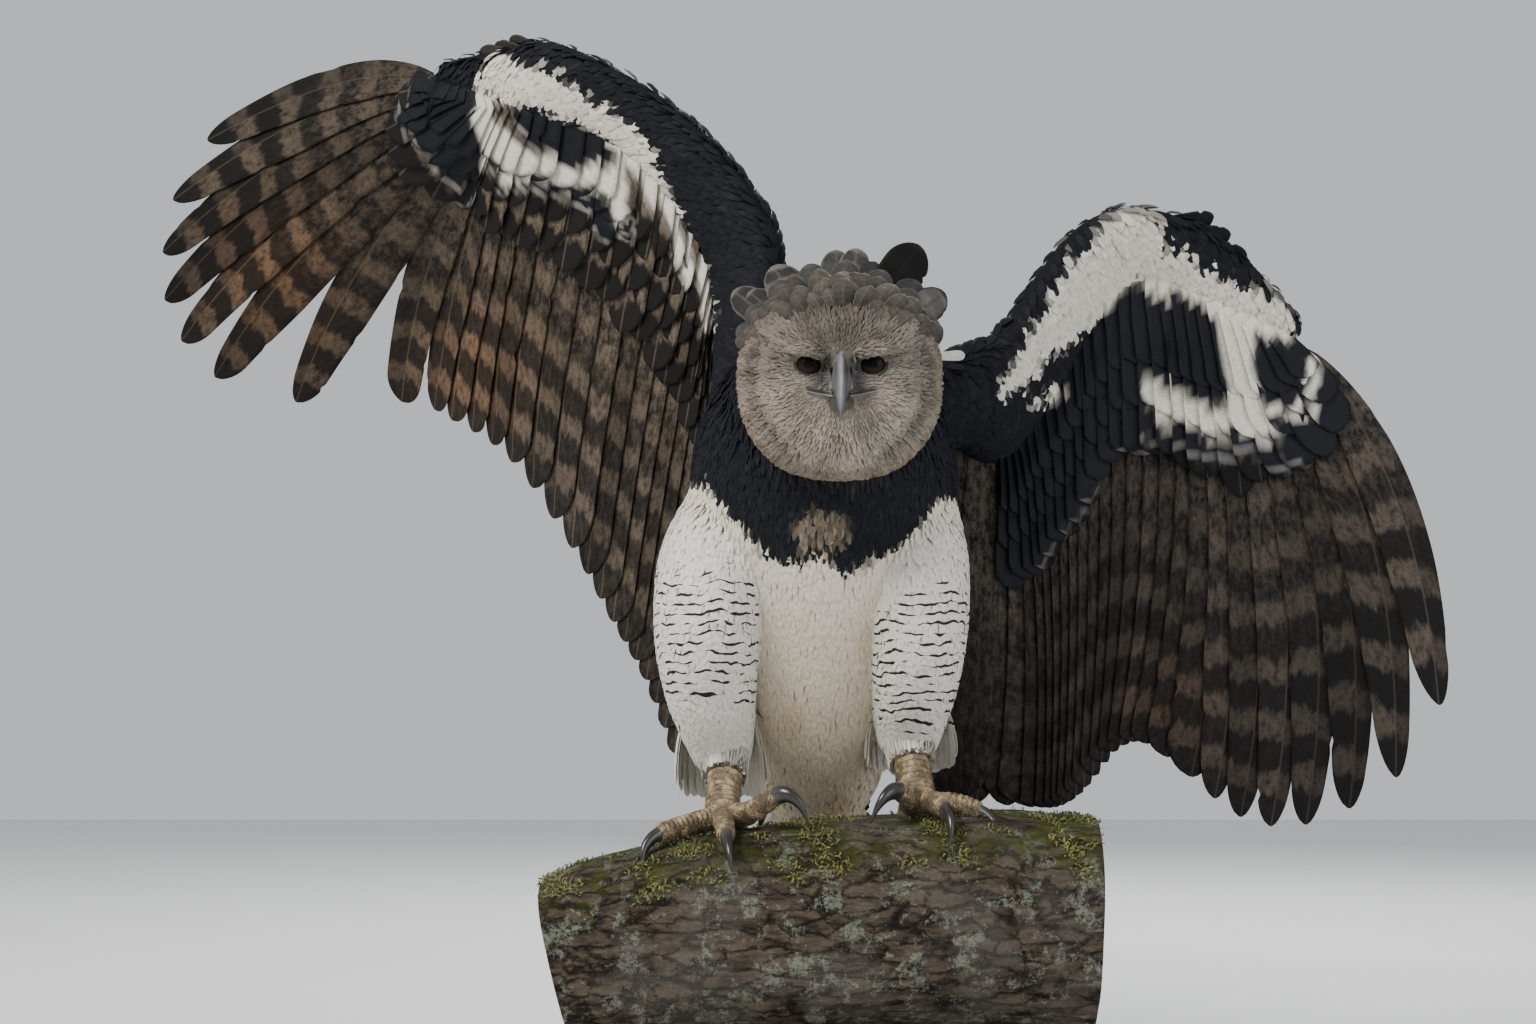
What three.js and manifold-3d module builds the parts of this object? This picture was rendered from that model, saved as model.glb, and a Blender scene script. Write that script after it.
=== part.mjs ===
// A harpy eagle at life size, as a still display model on a cut length of branch and a plain stand.
// It leans forward with its right wing raised and spread, its left wing half open and its crest up.
// Millimetres, +Z up. The bird faces -Y, so its right side is at -X.
// The origin is the middle of the base's underside.
// Places on the bird, the branch and the rods are given from the branch's top under the right foot.
import * as THREE from "three";
import Module from "manifold-3d";

const wasm = await Module();
wasm.setup();

// Stand
const BASE = { width: 430, depth: 330, thick: 20, corner: 40 };
const BRANCH_TOP = 265; // height of the branch's top over the surface that the base rests on
const BRANCH_FRONT = 50; // how far the branch is in front of the base's middle, as the bird leans back over it
const ROD = { radius: 9, apart: 250 };

// Fit between touching pieces, and the thickness of a feather's vane
const GAP = 0.3;
const VANE = 0.7;

// Trunk of the body, from vent to neck: [t, x, y, z, half width, half depth]
const TORSO = [
  [0, 0, 178, 4, 40, 24],
  [0.1, 0, 154, 38, 60, 46],
  [0.22, 1, 124, 86, 70, 66],
  [0.37, 2, 86, 150, 88, 84],
  [0.52, 3, 46, 220, 112, 94],
  [0.68, 3, 6, 290, 125, 98],
  [0.82, 4, -26, 350, 124, 94],
  [0.93, 5, -50, 400, 106, 82],
  [1, 6, -62, 430, 74, 58],
];
const NECK = [
  [0, 5, -20, 386, 92, 74],
  [0.45, 8, -70, 398, 96, 82],
  [1, 12, -128, 406, 76, 74],
];

// Head: middle, reach to each side, up, down, to the face and to the nape
const HEAD = { at: [15, -165, 411], side: 92, up: 80, down: 93, front: 62, back: 80 };
const EYE = { apart: 57, forward: 43, above: 6, radius: 13 };
const BILL = [
  [0, 15, -204, 411, 15, 17],
  [0.25, 15, -226, 410, 14.5, 17],
  [0.5, 15, -243, 406, 12.5, 16.5],
  [0.7, 15, -255, 396, 9.5, 13],
  [0.86, 14.5, -262, 382, 6, 9],
  [1, 14, -265, 363, 1.2, 2],
];
const LOWER_BILL = [
  [0, 15, -200, 385, 14, 8],
  [0.5, 15, -228, 381, 11, 7],
  [1, 15, -247, 379, 4, 4],
];
const CERE_END = -236; // the cere ends and the horn of the bill starts at this y
// Nostril, a slanting slit in each side of the cere: [t, out from the middle, y, z, half width, half depth]
const NOSTRIL = [
  [0, 9, -229, 415, 1.6, 1.6],
  [0.5, 12, -229.5, 409, 2.2, 2.2],
  [1, 14.5, -230, 402, 1.6, 1.6],
];

const CREST_ROOT = 62; // where the crest's feathers start, from the head's middle
// Long feathers of the crest: [degrees from upright, reach from the head's middle, half width]
const CREST = [
  [-72, 106, 14],
  [-55, 121, 15],
  [-44, 108, 14],
  [-29, 118, 18],
  [-13, 112, 15],
  [-2, 125, 16],
  [10, 124, 17],
  [28, 148, 19],
  [41, 118, 16],
  [54, 128, 15],
  [70, 108, 14],
];

// Legs, right then left: thigh and shank with their feathers, bare shank, and toes with their claws
const LEGS = {
  right: {
    thigh: [
      [0, -72, 22, 300, 36, 44],
      [0.18, -97, -8, 262, 50, 62],
      [0.42, -107, -20, 200, 50, 64],
      [0.66, -105, 6, 140, 45, 54],
      [0.85, -98, 36, 94, 36, 40],
      [1, -92, 56, 60, 27, 29],
    ],
    shank: [
      [0, -88, 72, 112, 17, 19],
      [0.45, -89, 34, 62, 16, 18],
      [0.8, -92, 2, 24, 17, 18],
      [1, -92, -14, 8, 18, 15],
    ],
    toes: {
      1: [[-86, 8, 8], [-80, 46, 6], [-77, 78, -18], [-75, 92, -62]],
      2: [[-84, -18, 10], [-64, -48, 16], [-42, -66, 32], [-12, -74, 6]],
      3: [[-92, -22, 8], [-91, -50, 8], [-88, -80, -4], [-82, -104, -38]],
      4: [[-100, -16, 8], [-126, -30, 2], [-150, -44, -4], [-164, -62, -36]],
    },
  },
  left: {
    thigh: [
      [0, 72, 22, 306, 36, 44],
      [0.18, 90, -6, 268, 46, 62],
      [0.42, 94, -18, 208, 46, 64],
      [0.66, 91, 8, 150, 43, 54],
      [0.85, 87, 38, 106, 36, 40],
      [1, 85, 56, 74, 28, 30],
    ],
    shank: [
      [0, 84, 72, 124, 17, 19],
      [0.45, 86, 36, 74, 17, 18],
      [0.8, 91, 4, 36, 17, 18],
      [1, 93, -12, 20, 18, 15],
    ],
    toes: {
      1: [[90, 8, 20], [86, 46, 16], [84, 78, -8], [82, 93, -52]],
      2: [[88, -18, 22], [82, -38, 30], [72, -56, 36], [45, -72, 6]],
      3: [[95, -20, 20], [106, -44, 24], [114, -68, 20], [116, -92, -18]],
      4: [[100, -12, 20], [124, -22, 22], [148, -30, 16], [162, -52, -16]],
    },
  },
};
// Long feathers that hang behind each shank, from the thigh round to its sides
const FLAGS = {
  right: { root: [-97, 30, 104], tip: [-95, 58, 10] },
  left: { root: [87, 32, 116], tip: [88, 58, 38] },
  feathers: 8,
  turn: 78, // degrees to each side of straight behind
  gather: 24,
  spread: 40,
  half: 13,
};
const TOE = { root: 12, end: 9.5, scutes: 6, scute: 1.4 };
const CLAW = { 1: 9.5, 2: 9, 3: 7.5, 4: 7 }; // half depth of each toe's claw at its root

// Wings: the arm from shoulder to the tip of the hand as its front edge and rear edge with its half thickness,
// the shafts' tips by feather, and how far a shaft bows to the front edge and to the back of the wing.
// Feathers are numbered from the innermost: 0 to 2 tertials, 3 to 14 secondaries, 15 to 24 primaries.
const FEATHERS = 25;
const WINGS = {
  right: {
    arm: [
      [0, -55, -45, 325, -92, 35, 369, 34],
      [1, -35, 0, 533, -100, 65, 503, 24],
      [2, -61, 15, 610, -139, 65, 591, 21],
      [3, -142, 20, 696, -202, 65, 657, 18],
      [4, -248, 25, 755, -277, 75, 686, 16],
      [5, -313, 85, 761, -326, 115, 709, 13],
      [6, -379, 150, 762, -378, 158, 735, 8],
    ],
    tips: [
      [0, -142, 132, 66],
      [3, -170, 144, 138],
      [6, -204, 160, 196],
      [9, -247, 188, 271],
      [12, -312, 235, 361],
      [15, -382, 315, 411],
      [17, -441, 370, 435],
      [18, -558, 396, 437],
      [19, -649, 415, 466],
      [21, -706, 425, 551],
      [23, -695, 410, 658],
      [24, -654, 385, 719],
    ],
    bow: 78,
  },
  left: {
    arm: [
      [0, 130, -20, 448, 128, 75, 372, 34],
      [1, 175, 5, 476, 180, 115, 345, 24],
      [2, 214, 25, 534, 224, 115, 394, 21],
      [3, 254, 40, 582, 267, 110, 468, 18],
      [4, 310, 55, 601, 316, 110, 523, 16],
      [5, 397, 90, 578, 388, 130, 503, 13],
      [6, 483, 130, 503, 469, 150, 472, 8],
    ],
    tips: [
      [0, 156, 134, 17],
      [2, 212, 142, 12],
      [6, 241, 140, 14],
      [9, 263, 138, 32],
      [12, 290, 136, 67],
      [15, 324, 138, 75],
      [17, 370, 144, 42],
      [19, 420, 152, 2],
      [21, 486, 160, -6],
      [23, 576, 160, 41],
      [24, 619, 156, 113],
    ],
    bow: 104,
  },
};
const SHINGLE = 2.6; // from one vane to the next one under it
// Tiers of coverts on the wing's underside, then on its back: reach is a share of the flight feathers' length
const COVERTS = [
  { count: 12, reach: 0.42, lift: -8 },
  { count: 7, reach: 0.24, lift: -13 },
  { count: 11, reach: 0.44, lift: 8 },
  { count: 6, reach: 0.26, lift: 13 },
];
// Where each feather's root sits along the arm
const ROOTS = [
  [0, 0.9],
  [3, 1.4],
  [14, 4.2],
  [15, 4.4],
  [24, 5.9],
];

// Tail, from its root in the body to the tip of its middle feathers
// Each feather lies `step` under its inner neighbour.
const TAIL = {
  root: [0, 158, 44],
  tip: [0, 448, -204],
  feathers: 12,
  half: 28,
  gather: 22,
  spread: 78,
  step: 1.8,
};
const TAIL_COVERTS = [
  { count: 5, reach: 0.34, lift: 4 },
  { count: 5, reach: 0.42, lift: -14 },
];

// Branch: [t, x, y, z, half depth, half height]
const BRANCH = [
  [0, -240, 6, -136, 104, 90],
  [0.3, -130, 0, -108, 106, 95],
  [0.5, -20, 0, -94, 108, 98],
  [0.75, 120, 2, -88, 106, 102],
  [1, 255, 6, -93, 102, 101],
];

const V = (x, y, z) => new THREE.Vector3(x, y, z);
const at = (xyz) => V(...xyz);
const lerp = (a, b, s) => a + (b - a) * s;
const bell = (x, width) => Math.exp((-x * x) / (2 * width * width));

// A smooth curve through keys [t, a, b, ...], which gives [a, b, ...] at any t.
function curve(keys) {
  const slope = (i, k) => {
    const before = keys[Math.max(0, i - 1)];
    const after = keys[Math.min(keys.length - 1, i + 1)];
    return (after[k] - before[k]) / (after[0] - before[0]);
  };
  return (t) => {
    let i = 0;
    while (i < keys.length - 2 && t > keys[i + 1][0]) i += 1;
    const [a, b] = [keys[i], keys[i + 1]];
    const h = b[0] - a[0];
    const s = Math.min(1, Math.max(0, (t - a[0]) / h));
    const [s2, s3] = [s * s, s * s * s];
    return a.slice(1).map(
      (p, k) =>
        p * (2 * s3 - 3 * s2 + 1) +
        slope(i, k + 1) * h * (s3 - 2 * s2 + s) +
        b[k + 1] * (3 * s2 - 2 * s3) +
        slope(i + 1, k + 1) * h * (s3 - s2),
    );
  };
}

// A closed set of triangles as a solid, turned so that its faces point out.
function solid(points, faces) {
  const made = (list) =>
    new wasm.Manifold(
      new wasm.Mesh({
        numProp: 3,
        vertProperties: new Float32Array(points.flatMap((p) => [p.x, p.y, p.z])),
        triVerts: new Uint32Array(list.flat()),
      }),
    );
  const body = made(faces);
  return body.volume() > 0 ? body : made(faces.map(([a, b, c]) => [a, c, b]));
}

// A closed surface from pole to pole: place(u, v) is the point at u along the axis and v round it, both 0 to 1.
function closed(rows, cols, place) {
  const points = [place(0, 0)];
  for (let i = 1; i < rows; i++) {
    for (let j = 0; j < cols; j++) points.push(place(i / rows, j / cols));
  }
  points.push(place(1, 0));
  const id = (i, j) => (i === 0 ? 0 : i === rows ? points.length - 1 : 1 + (i - 1) * cols + (j % cols));
  const faces = [];
  for (let i = 0; i < rows; i++) {
    for (let j = 0; j < cols; j++) {
      if (i > 0) faces.push([id(i, j), id(i, j + 1), id(i + 1, j)]);
      if (i < rows - 1) faces.push([id(i, j + 1), id(i + 1, j + 1), id(i + 1, j)]);
    }
  }
  return solid(points, faces);
}

// A thin plate over a grid of [point, normal], split into triangles alike on both faces.
function plate(rows, cols, place, thick = VANE) {
  const points = [];
  for (const side of [0.5, -0.5]) {
    for (let i = 0; i <= rows; i++) {
      for (let j = 0; j <= cols; j++) {
        const [point, normal] = place(i, j);
        points.push(point.clone().addScaledVector(normal, side * thick));
      }
    }
  }
  const id = (side, i, j) => (side * (rows + 1) + i) * (cols + 1) + j;
  const faces = [];
  for (let i = 0; i < rows; i++) {
    for (let j = 0; j < cols; j++) {
      const [a, b, c, d] = [id(0, i, j), id(0, i, j + 1), id(0, i + 1, j + 1), id(0, i + 1, j)];
      const under = (rows + 1) * (cols + 1);
      faces.push([a, b, c], [a, c, d]);
      faces.push([a + under, c + under, b + under], [a + under, d + under, c + under]);
    }
  }
  const rim = (i, j, k, l) => {
    faces.push([id(0, k, l), id(0, i, j), id(1, i, j)], [id(0, k, l), id(1, i, j), id(1, k, l)]);
  };
  for (let j = 0; j < cols; j++) {
    rim(0, j, 0, j + 1);
    rim(rows, j + 1, rows, j);
  }
  for (let i = 0; i < rows; i++) {
    rim(i + 1, 0, i, 0);
    rim(i, cols, i + 1, cols);
  }
  return solid(points, faces);
}

// A limb: a closed tube through keys [t, x, y, z, half width, half depth], its width measured along side.
// relief(s, cos, sin) adds to its radius, round(s, cos, sin) scales its width, flat leaves its ends flat,
// and square over 2 makes its section fuller at the corners.
function limb(keys, shape) {
  const { rows, cols, side = V(1, 0, 0), grow = 0, relief = () => 0 } = shape;
  const { round = () => 1, flat = false, square = 2 } = shape;
  const line = curve(keys);
  const [first, last] = [keys[0][0], keys[keys.length - 1][0]];
  const middle = (t) => at(line(t).slice(0, 3));
  const step = (last - first) * 0.01;
  return closed(rows, cols, (u, v) => {
    const s = Math.min(1, Math.max(0, (u * rows - 1) / (rows - 2)));
    const t = lerp(first, last, s);
    const [wide, deep] = line(t).slice(3);
    const along = middle(Math.min(last, t + step)).sub(middle(Math.max(first, t - step))).normalize();
    const across = side.clone().addScaledVector(along, -side.dot(along)).normalize();
    const up = along.clone().cross(across);
    const p = middle(t);
    if (u === 0 || u === 1) {
      const cap = flat ? 0 : 0.35 * Math.min(wide, deep);
      return p.addScaledVector(along, (u === 0 ? -1 : 1) * (cap + grow));
    }
    const [c, d] = [Math.cos(2 * Math.PI * v), Math.sin(2 * Math.PI * v)];
    const bulge = (Math.abs(c) ** square + Math.abs(d) ** square) ** (-1 / square);
    const more = relief(s, c, d) + grow;
    p.addScaledVector(across, (wide * round(s, c, d) * bulge + more) * c);
    return p.addScaledVector(up, (deep * bulge + more) * d);
  });
}

// A ball, for an eye.
function ball(centre, radius, cols = 12, rows = 7) {
  return closed(rows, cols, (u, v) => {
    const [a, b] = [Math.PI * u, 2 * Math.PI * v];
    const p = V(Math.sin(a) * Math.cos(b), -Math.cos(a), Math.sin(a) * Math.sin(b));
    return p.multiplyScalar(radius).add(centre);
  });
}

// A box between two heights of y, used to part the cere from the bill.
function slab(from, to) {
  const box = new THREE.BoxGeometry(200, to - from, 400).toNonIndexed();
  const position = box.getAttribute("position");
  const points = [];
  const faces = [];
  const seen = new Map();
  for (let i = 0; i < position.count; i++) {
    const p = V().fromBufferAttribute(position, i).add(V(HEAD.at[0], (from + to) / 2, HEAD.at[2]));
    const key = p.toArray().join();
    if (!seen.has(key)) seen.set(key, points.push(p) - 1);
    if (i % 3 === 0) faces.push([]);
    faces[faces.length - 1].push(seen.get(key));
  }
  return solid(points, faces);
}

// Pieces joined into one body, of which the largest closed surface is kept.
function largest(made) {
  return made.decompose().reduce((a, b) => (b.volume() > a.volume() ? b : a));
}
const fuse = (...pieces) => largest(wasm.Manifold.union(pieces.flat()));
const cut = (body, ...others) => largest(others.flat().reduce((a, b) => a.subtract(b), body));

// Body
const torso = (grow = 0) => limb(TORSO, { rows: 12, cols: 20, grow });
const neck = (grow = 0) => limb(NECK, { rows: 6, cols: 20, grow });

// Head: a rounded block with the face's relief, its poles at the bill and the nape
function headCore(grow = 0) {
  const { at: middle, side, up, down, front, back } = HEAD;
  const eye = EYE.apart / 2;
  const relief = (x, z) => {
    const out = Math.abs(x);
    const socket = -12 * bell(out - eye, 12) * bell(z - EYE.above, 9);
    const brow = 6.5 * bell(out - 30, 15) * bell(z - 17 - 0.15 * (out - 30), 4.5);
    const lore = -4 * bell(out - 16, 5) * bell(z, 11);
    const cheek = 4 * bell(out - 50, 18) * bell(z + 33, 20);
    return socket + brow + lore + cheek;
  };
  return closed(15, 24, (u, v) => {
    const [a, b] = [Math.PI * u * (0.6 + 0.4 * u), 2 * Math.PI * v];
    const way = V(Math.sin(a) * Math.cos(b), -Math.cos(a), Math.sin(a) * Math.sin(b));
    const high = way.z > 0 ? up : down;
    const long = way.y < 0 ? front : back;
    const power = 2.3;
    const reach =
      (Math.abs(way.x / side) ** power + Math.abs(way.z / high) ** power + Math.abs(way.y / long) ** power) **
      (-1 / power);
    const face = way.y < 0 ? relief(way.x * reach, way.z * reach) : 0;
    return way.multiplyScalar(reach + face + grow).add(at(middle));
  });
}

const eyeMiddle = (sign) =>
  at(HEAD.at).add(V((sign * EYE.apart) / 2, -EYE.forward, EYE.above));

// The lids: a ring round the eye, flatter above under the brow
function lids(sign) {
  const [around, thick] = [12, 4];
  const ring = (i) => {
    const a = (2 * Math.PI * i) / around;
    const [x, z] = [11.5 * Math.cos(a), Math.sin(a) * (Math.sin(a) > 0 ? 7.5 : 9.5)];
    const out = EYE.radius + 1.6;
    return eyeMiddle(sign).add(V(x, -Math.sqrt(out * out - x * x - z * z), z));
  };
  const points = [];
  const faces = [];
  for (let i = 0; i < around; i++) {
    const along = ring(i + 1).sub(ring(i - 1)).normalize();
    const out = ring(i).sub(eyeMiddle(sign)).normalize();
    const over = along.clone().cross(out);
    for (let j = 0; j < thick; j++) {
      const b = (2 * Math.PI * j) / thick;
      points.push(ring(i).addScaledVector(out, 2 * Math.cos(b)).addScaledVector(over, 2.4 * Math.sin(b)));
      const [p, q] = [(i + 1) % around, (j + 1) % thick];
      faces.push([i * thick + j, p * thick + j, p * thick + q], [i * thick + j, p * thick + q, i * thick + q]);
    }
  }
  return solid(points, faces);
}

// The edge of the mouth behind the bill, as a low lip on each side
function lip(sign) {
  const x = HEAD.at[0];
  const keys = [
    [0, x + sign * 11, -226, 389, 2, 2],
    [0.5, x + sign * 20, -219, 391, 2.2, 2.2],
    [1, x + sign * 33, -207, 394, 1.8, 1.8],
  ];
  return limb(keys, { rows: 5, cols: 5, side: V(0, 0, 1) });
}

// A feather's vane along a bent shaft: width(u) scales its two half widths from root to tip
function feather({ root, bend, tip, across, lead, trail, tilt = 0, camber = 0.1, stops, width }) {
  const shaft = (s) => {
    const [a, b] = [root.clone().lerp(bend, s), bend.clone().lerp(tip, s)];
    return a.lerp(b, s);
  };
  return plate(stops.length - 1, 1, (i, j) => {
    const s = stops[i];
    const along = shaft(s + 0.01).sub(shaft(s - 0.01)).normalize();
    const over = across.clone().addScaledVector(along, -across.dot(along)).normalize();
    const normal = over.clone().applyAxisAngle(along, Math.PI / 2 + tilt);
    over.applyAxisAngle(along, tilt);
    const x = lerp(-trail, lead, j) * width(s);
    const half = Math.max(lead, trail);
    return [shaft(s).addScaledVector(over, x).addScaledVector(normal, (-camber * x * x) / half), normal];
  });
}

// A vane on a surface that turns round an axis. place(turn, s) gives a point, its normal and its distance from the
// axis. The vane ends at the share `reach` of the surface's length. It rises by `tilt` from one edge to the other,
// so that neighbours overlap and don't cross.
function shingle(place, turn, { half, reach = 1, stops, width, tilt }) {
  return plate(stops.length - 1, 1, (i, j) => {
    const s = reach * stops[i];
    const aside = lerp(-half, half, j) * width(stops[i]);
    const [point, normal] = place(turn + aside / place(turn, s)[2], s);
    return [point.addScaledVector(normal, tilt * aside), normal];
  });
}

const crestWidth = curve([
  [0, 0.5],
  [0.55, 1],
  [0.86, 0.95],
  [1, 0.4],
]);

// Every feather of the crest leans back along one curve, by its distance from the head's middle.
function crest() {
  const one = (degrees, reach, half, forward, deep) => {
    const place = (turn, s) => {
      const out = lerp(deep, reach, s);
      const lean = 10 - forward + 0.6 * (out - CREST_ROOT);
      const point = at(HEAD.at).add(V(out * Math.sin(turn), lean, out * Math.cos(turn)));
      return [point, V(0, 1, 0), out];
    };
    return shingle(place, THREE.MathUtils.degToRad(degrees), {
      half,
      stops: [0, 0.55, 0.86, 1],
      width: (s) => crestWidth(s)[0],
      tilt: 0.12,
    });
  };
  const vanes = CREST.map(([degrees, reach, half]) => one(degrees, reach, half, 0, CREST_ROOT));
  for (let k = -3; k <= 3; k++) vanes.push(one(20 * k + 4, 101, 15, 22, CREST_ROOT - 6));
  return vanes;
}

// Wings
function wingPlan({ arm, tips, bow }) {
  const edges = curve(arm);
  const roots = curve(ROOTS);
  const ends = curve(tips);
  const root = (f) => {
    const [ax, ay, az, bx, by, bz] = edges(roots(f)[0]);
    return V(ax, ay, az).lerp(V(bx, by, bz), 0.8);
  };
  const tip = (f) => at(ends(f));
  const mid = (f) => root(f).lerp(tip(f), 0.5);
  const bend = (f) => {
    const over = mid(Math.min(f + 0.5, 24)).sub(mid(Math.max(f - 0.5, 0))).normalize();
    const along = tip(f).sub(root(f)).normalize();
    const back = backOf(along, over);
    const outward = bow * (0.25 + 0.75 * (f / FEATHERS) ** 2);
    return mid(f).addScaledVector(over, outward).addScaledVector(back, 10);
  };
  const inner = (f, s) => {
    const [p, q, r] = [root(f), bend(f), tip(f)];
    return p.lerp(q, s).lerp(q.lerp(r, s), s);
  };
  // Past the first and the last feather the wing's surface goes straight on.
  const shaft = (f, s) => {
    const edge = Math.min(FEATHERS - 1, Math.max(0, f));
    if (f === edge) return inner(f, s);
    const beside = inner(edge + (f < edge ? 1 : -1), s);
    return inner(edge, s).lerp(beside, -Math.abs(f - edge));
  };
  const along = (f, s) => shaft(f, s + 0.02).sub(shaft(f, s - 0.02)).normalize();
  const next = (f, s) => shaft(f + 0.5, s).sub(shaft(f - 0.5, s));
  const back = (f, s) => backOf(along(f, s), next(f, s));
  return { edges, shaft, along, next, back };
}

// The wing's back is the side that faces away from the viewer, at +Y.
function backOf(along, over) {
  const normal = along.clone().cross(over).normalize();
  return normal.y < 0 ? normal.negate() : normal;
}

function armOf({ edges }) {
  const rows = 11;
  const station = (t) => {
    const e = edges(Math.min(6, Math.max(0, t)));
    return { lead: V(e[0], e[1], e[2]), rear: V(e[3], e[4], e[5]), thick: e[6] };
  };
  const middle = (t) => station(t).lead.lerp(station(t).rear, 0.5);
  return closed(rows, 8, (u, v) => {
    const t = (6 * Math.min(rows - 2, Math.max(0, u * rows - 1))) / (rows - 2);
    const { lead, rear, thick } = station(t);
    const along = middle(t + 0.1).sub(middle(t - 0.1)).normalize();
    const p = middle(t);
    if (u === 0 || u === 1) return p.addScaledVector(along, u === 0 ? -10 : 10);
    const wide = rear.sub(lead).multiplyScalar(0.5);
    const back = backOf(along, wide.clone().negate());
    const angle = 2 * Math.PI * v;
    return p.addScaledVector(wide, Math.cos(angle)).addScaledVector(back, thick * Math.sin(angle));
  });
}

// A vane along feather f of the wing, from the arm to the share `reach` of its length, on the wing's own surface.
// It is as wide as its neighbours' spacing asks, up to lead and trail. Its front edge rises to the wing's back by
// `step` for each neighbour it passes, so each vane lies over the next one out and none crosses another.
function wingVane(plan, f, { reach, lift = 0, step, share = 1, lead, trail, stops, width }) {
  const long = plan.shaft(f, 1).distanceTo(plan.shaft(f, 0));
  return plate(stops.length - 1, 1, (i, j) => {
    const s = reach * stops[i];
    const next = plan.next(f, s);
    const slant = next.dot(plan.along(f, s));
    const room = Math.sqrt(next.lengthSq() - slant * slant);
    const front = Math.min(lead, 0.62 * room * share + 3);
    const rear = Math.min(trail, 1.15 * room * share + 4);
    const passed = (lerp(-rear, front, j) * width(stops[i])) / room;
    const [g, t] = [f + passed, s - (passed * slant) / long];
    const back = plan.back(g, t);
    const rise = lift * Math.min(1, 0.6 + 3 * s) + (step * passed) / share;
    return [plan.shaft(g, t).addScaledVector(back, rise), back];
  });
}

const flightWidth = curve([
  [0, 0.5],
  [0.45, 1],
  [0.88, 0.95],
  [1, 0.4],
]);
const fingerWidth = curve([
  [0, 0.5],
  [0.4, 1],
  [0.7, 1],
  [0.88, 0.78],
  [1, 0.22],
]);
const covertWidth = curve([
  [0, 0.6],
  [0.8, 1],
  [1, 0.5],
]);

// The alula: three small stiff feathers on the front edge of the hand, from the wrist out
function alula({ edges }) {
  const edge = (t, inward) => {
    const [ax, ay, az, bx, by, bz] = edges(t);
    return V(ax, ay, az).lerp(V(bx, by, bz), inward);
  };
  const across = edge(4.4, 0).sub(edge(4.4, 1)).normalize();
  const back = backOf(edge(5, 0).sub(edge(4, 0)).normalize(), across);
  return [0, 1, 2].map((k) => {
    const [from, to] = [edge(3.9 + 0.15 * k, 0.3), edge(4.9 + 0.2 * k, -0.1 + 0.06 * k)];
    for (const place of [from, to]) place.addScaledVector(back, 3 - 3 * k);
    return feather({
      root: from,
      bend: from.clone().lerp(to, 0.5).addScaledVector(across, 5),
      tip: to,
      across,
      lead: 9,
      trail: 14,
      camber: 0,
      stops: [0, 0.7, 1],
      width: (s) => 1 - 0.7 * s ** 3,
    });
  });
}

function wingFeathers(plan) {
  const vanes = [];
  for (let f = 0; f < FEATHERS; f++) {
    const finger = f >= FEATHERS - 7;
    vanes.push(
      wingVane(plan, f, {
        reach: 1,
        step: SHINGLE,
        lead: 19,
        trail: 33,
        stops: [0, 0.32, 0.64, 0.88, 1],
        width: (s) => (finger ? fingerWidth(s)[0] : flightWidth(s)[0]),
      }),
    );
  }
  vanes.push(...alula(plan));
  for (const { count, reach, lift } of COVERTS) {
    for (let k = 0; k < count; k++) {
      const f = lerp(0.8, FEATHERS - 1.6, k / (count - 1));
      const long = reach * lerp(1, 0.72, Math.max(0, (f - 14) / 10));
      vanes.push(
        wingVane(plan, f, {
          reach: long,
          lift,
          step: SHINGLE,
          lead: 18,
          trail: 26,
          share: (FEATHERS - 2.4) / (count - 1),
          stops: [0, 0.8, 1],
          width: (s) => covertWidth(s)[0],
        }),
      );
    }
  }
  return vanes;
}

// Tail: its feathers lie in a low fan, the middle pair on top, on a flattened core
const tailWidth = curve([
  [0, 0.45],
  [0.4, 0.85],
  [0.93, 1],
  [1, 0.45],
]);

function tail() {
  const [root, tip] = [at(TAIL.root), at(TAIL.tip)];
  const along = tip.clone().sub(root).normalize();
  const across = V(1, 0, 0);
  const up = across.clone().cross(along).normalize();
  const middle = (TAIL.feathers - 1) / 2;
  // A feather `side` from the middle one, -1 to 1, which ends at the share `reach` of the tail's length
  const vane = (side, reach, level, half, stops) => {
    const place = (s, out) =>
      root.clone().lerp(tip, s).addScaledVector(across, side * out).addScaledVector(up, level);
    return feather({
      root: place(0, TAIL.gather),
      bend: place(reach / 2, lerp(TAIL.gather, TAIL.spread, reach / 2)),
      tip: place(reach, lerp(TAIL.gather, TAIL.spread, reach)),
      across,
      lead: half,
      trail: half,
      camber: 0.04,
      stops,
      width: (s) => tailWidth(s)[0],
    });
  };
  const vanes = [];
  for (let f = 0; f < TAIL.feathers; f++) {
    const level = -TAIL.step * Math.abs(f - middle + 0.3);
    vanes.push(vane((f - middle) / middle, 1, level, TAIL.half, [0, 0.4, 0.75, 0.93, 1]));
  }
  for (const { count, reach, lift } of TAIL_COVERTS) {
    for (let k = 0; k < count; k++) {
      const side = (2 * k) / (count - 1) - 1;
      const level = lift - 1.4 * Math.abs(k - (count - 1) / 2 + 0.3);
      vanes.push(vane(side, reach - 0.06 * side * side, level, 1.1 * TAIL.half, [0, 0.85, 1]));
    }
  }
  const low = (s) => root.clone().lerp(tip, s).addScaledVector(up, -4).toArray();
  const core = limb(
    [
      [0, ...low(0), 36, 16],
      [0.5, ...low(0.1), 37, 15],
      [1, ...low(0.2), 30, 12],
    ],
    { rows: 5, cols: 10 },
  );
  return fuse(core, vanes);
}

// Legs
const toeKeys = ([a, b, c]) => [
  [0, ...a, TOE.root, TOE.root],
  [0.5, ...b, lerp(TOE.root, TOE.end, 0.5), lerp(TOE.root, TOE.end, 0.5)],
  [1, ...c, TOE.end, TOE.end],
];

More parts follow.
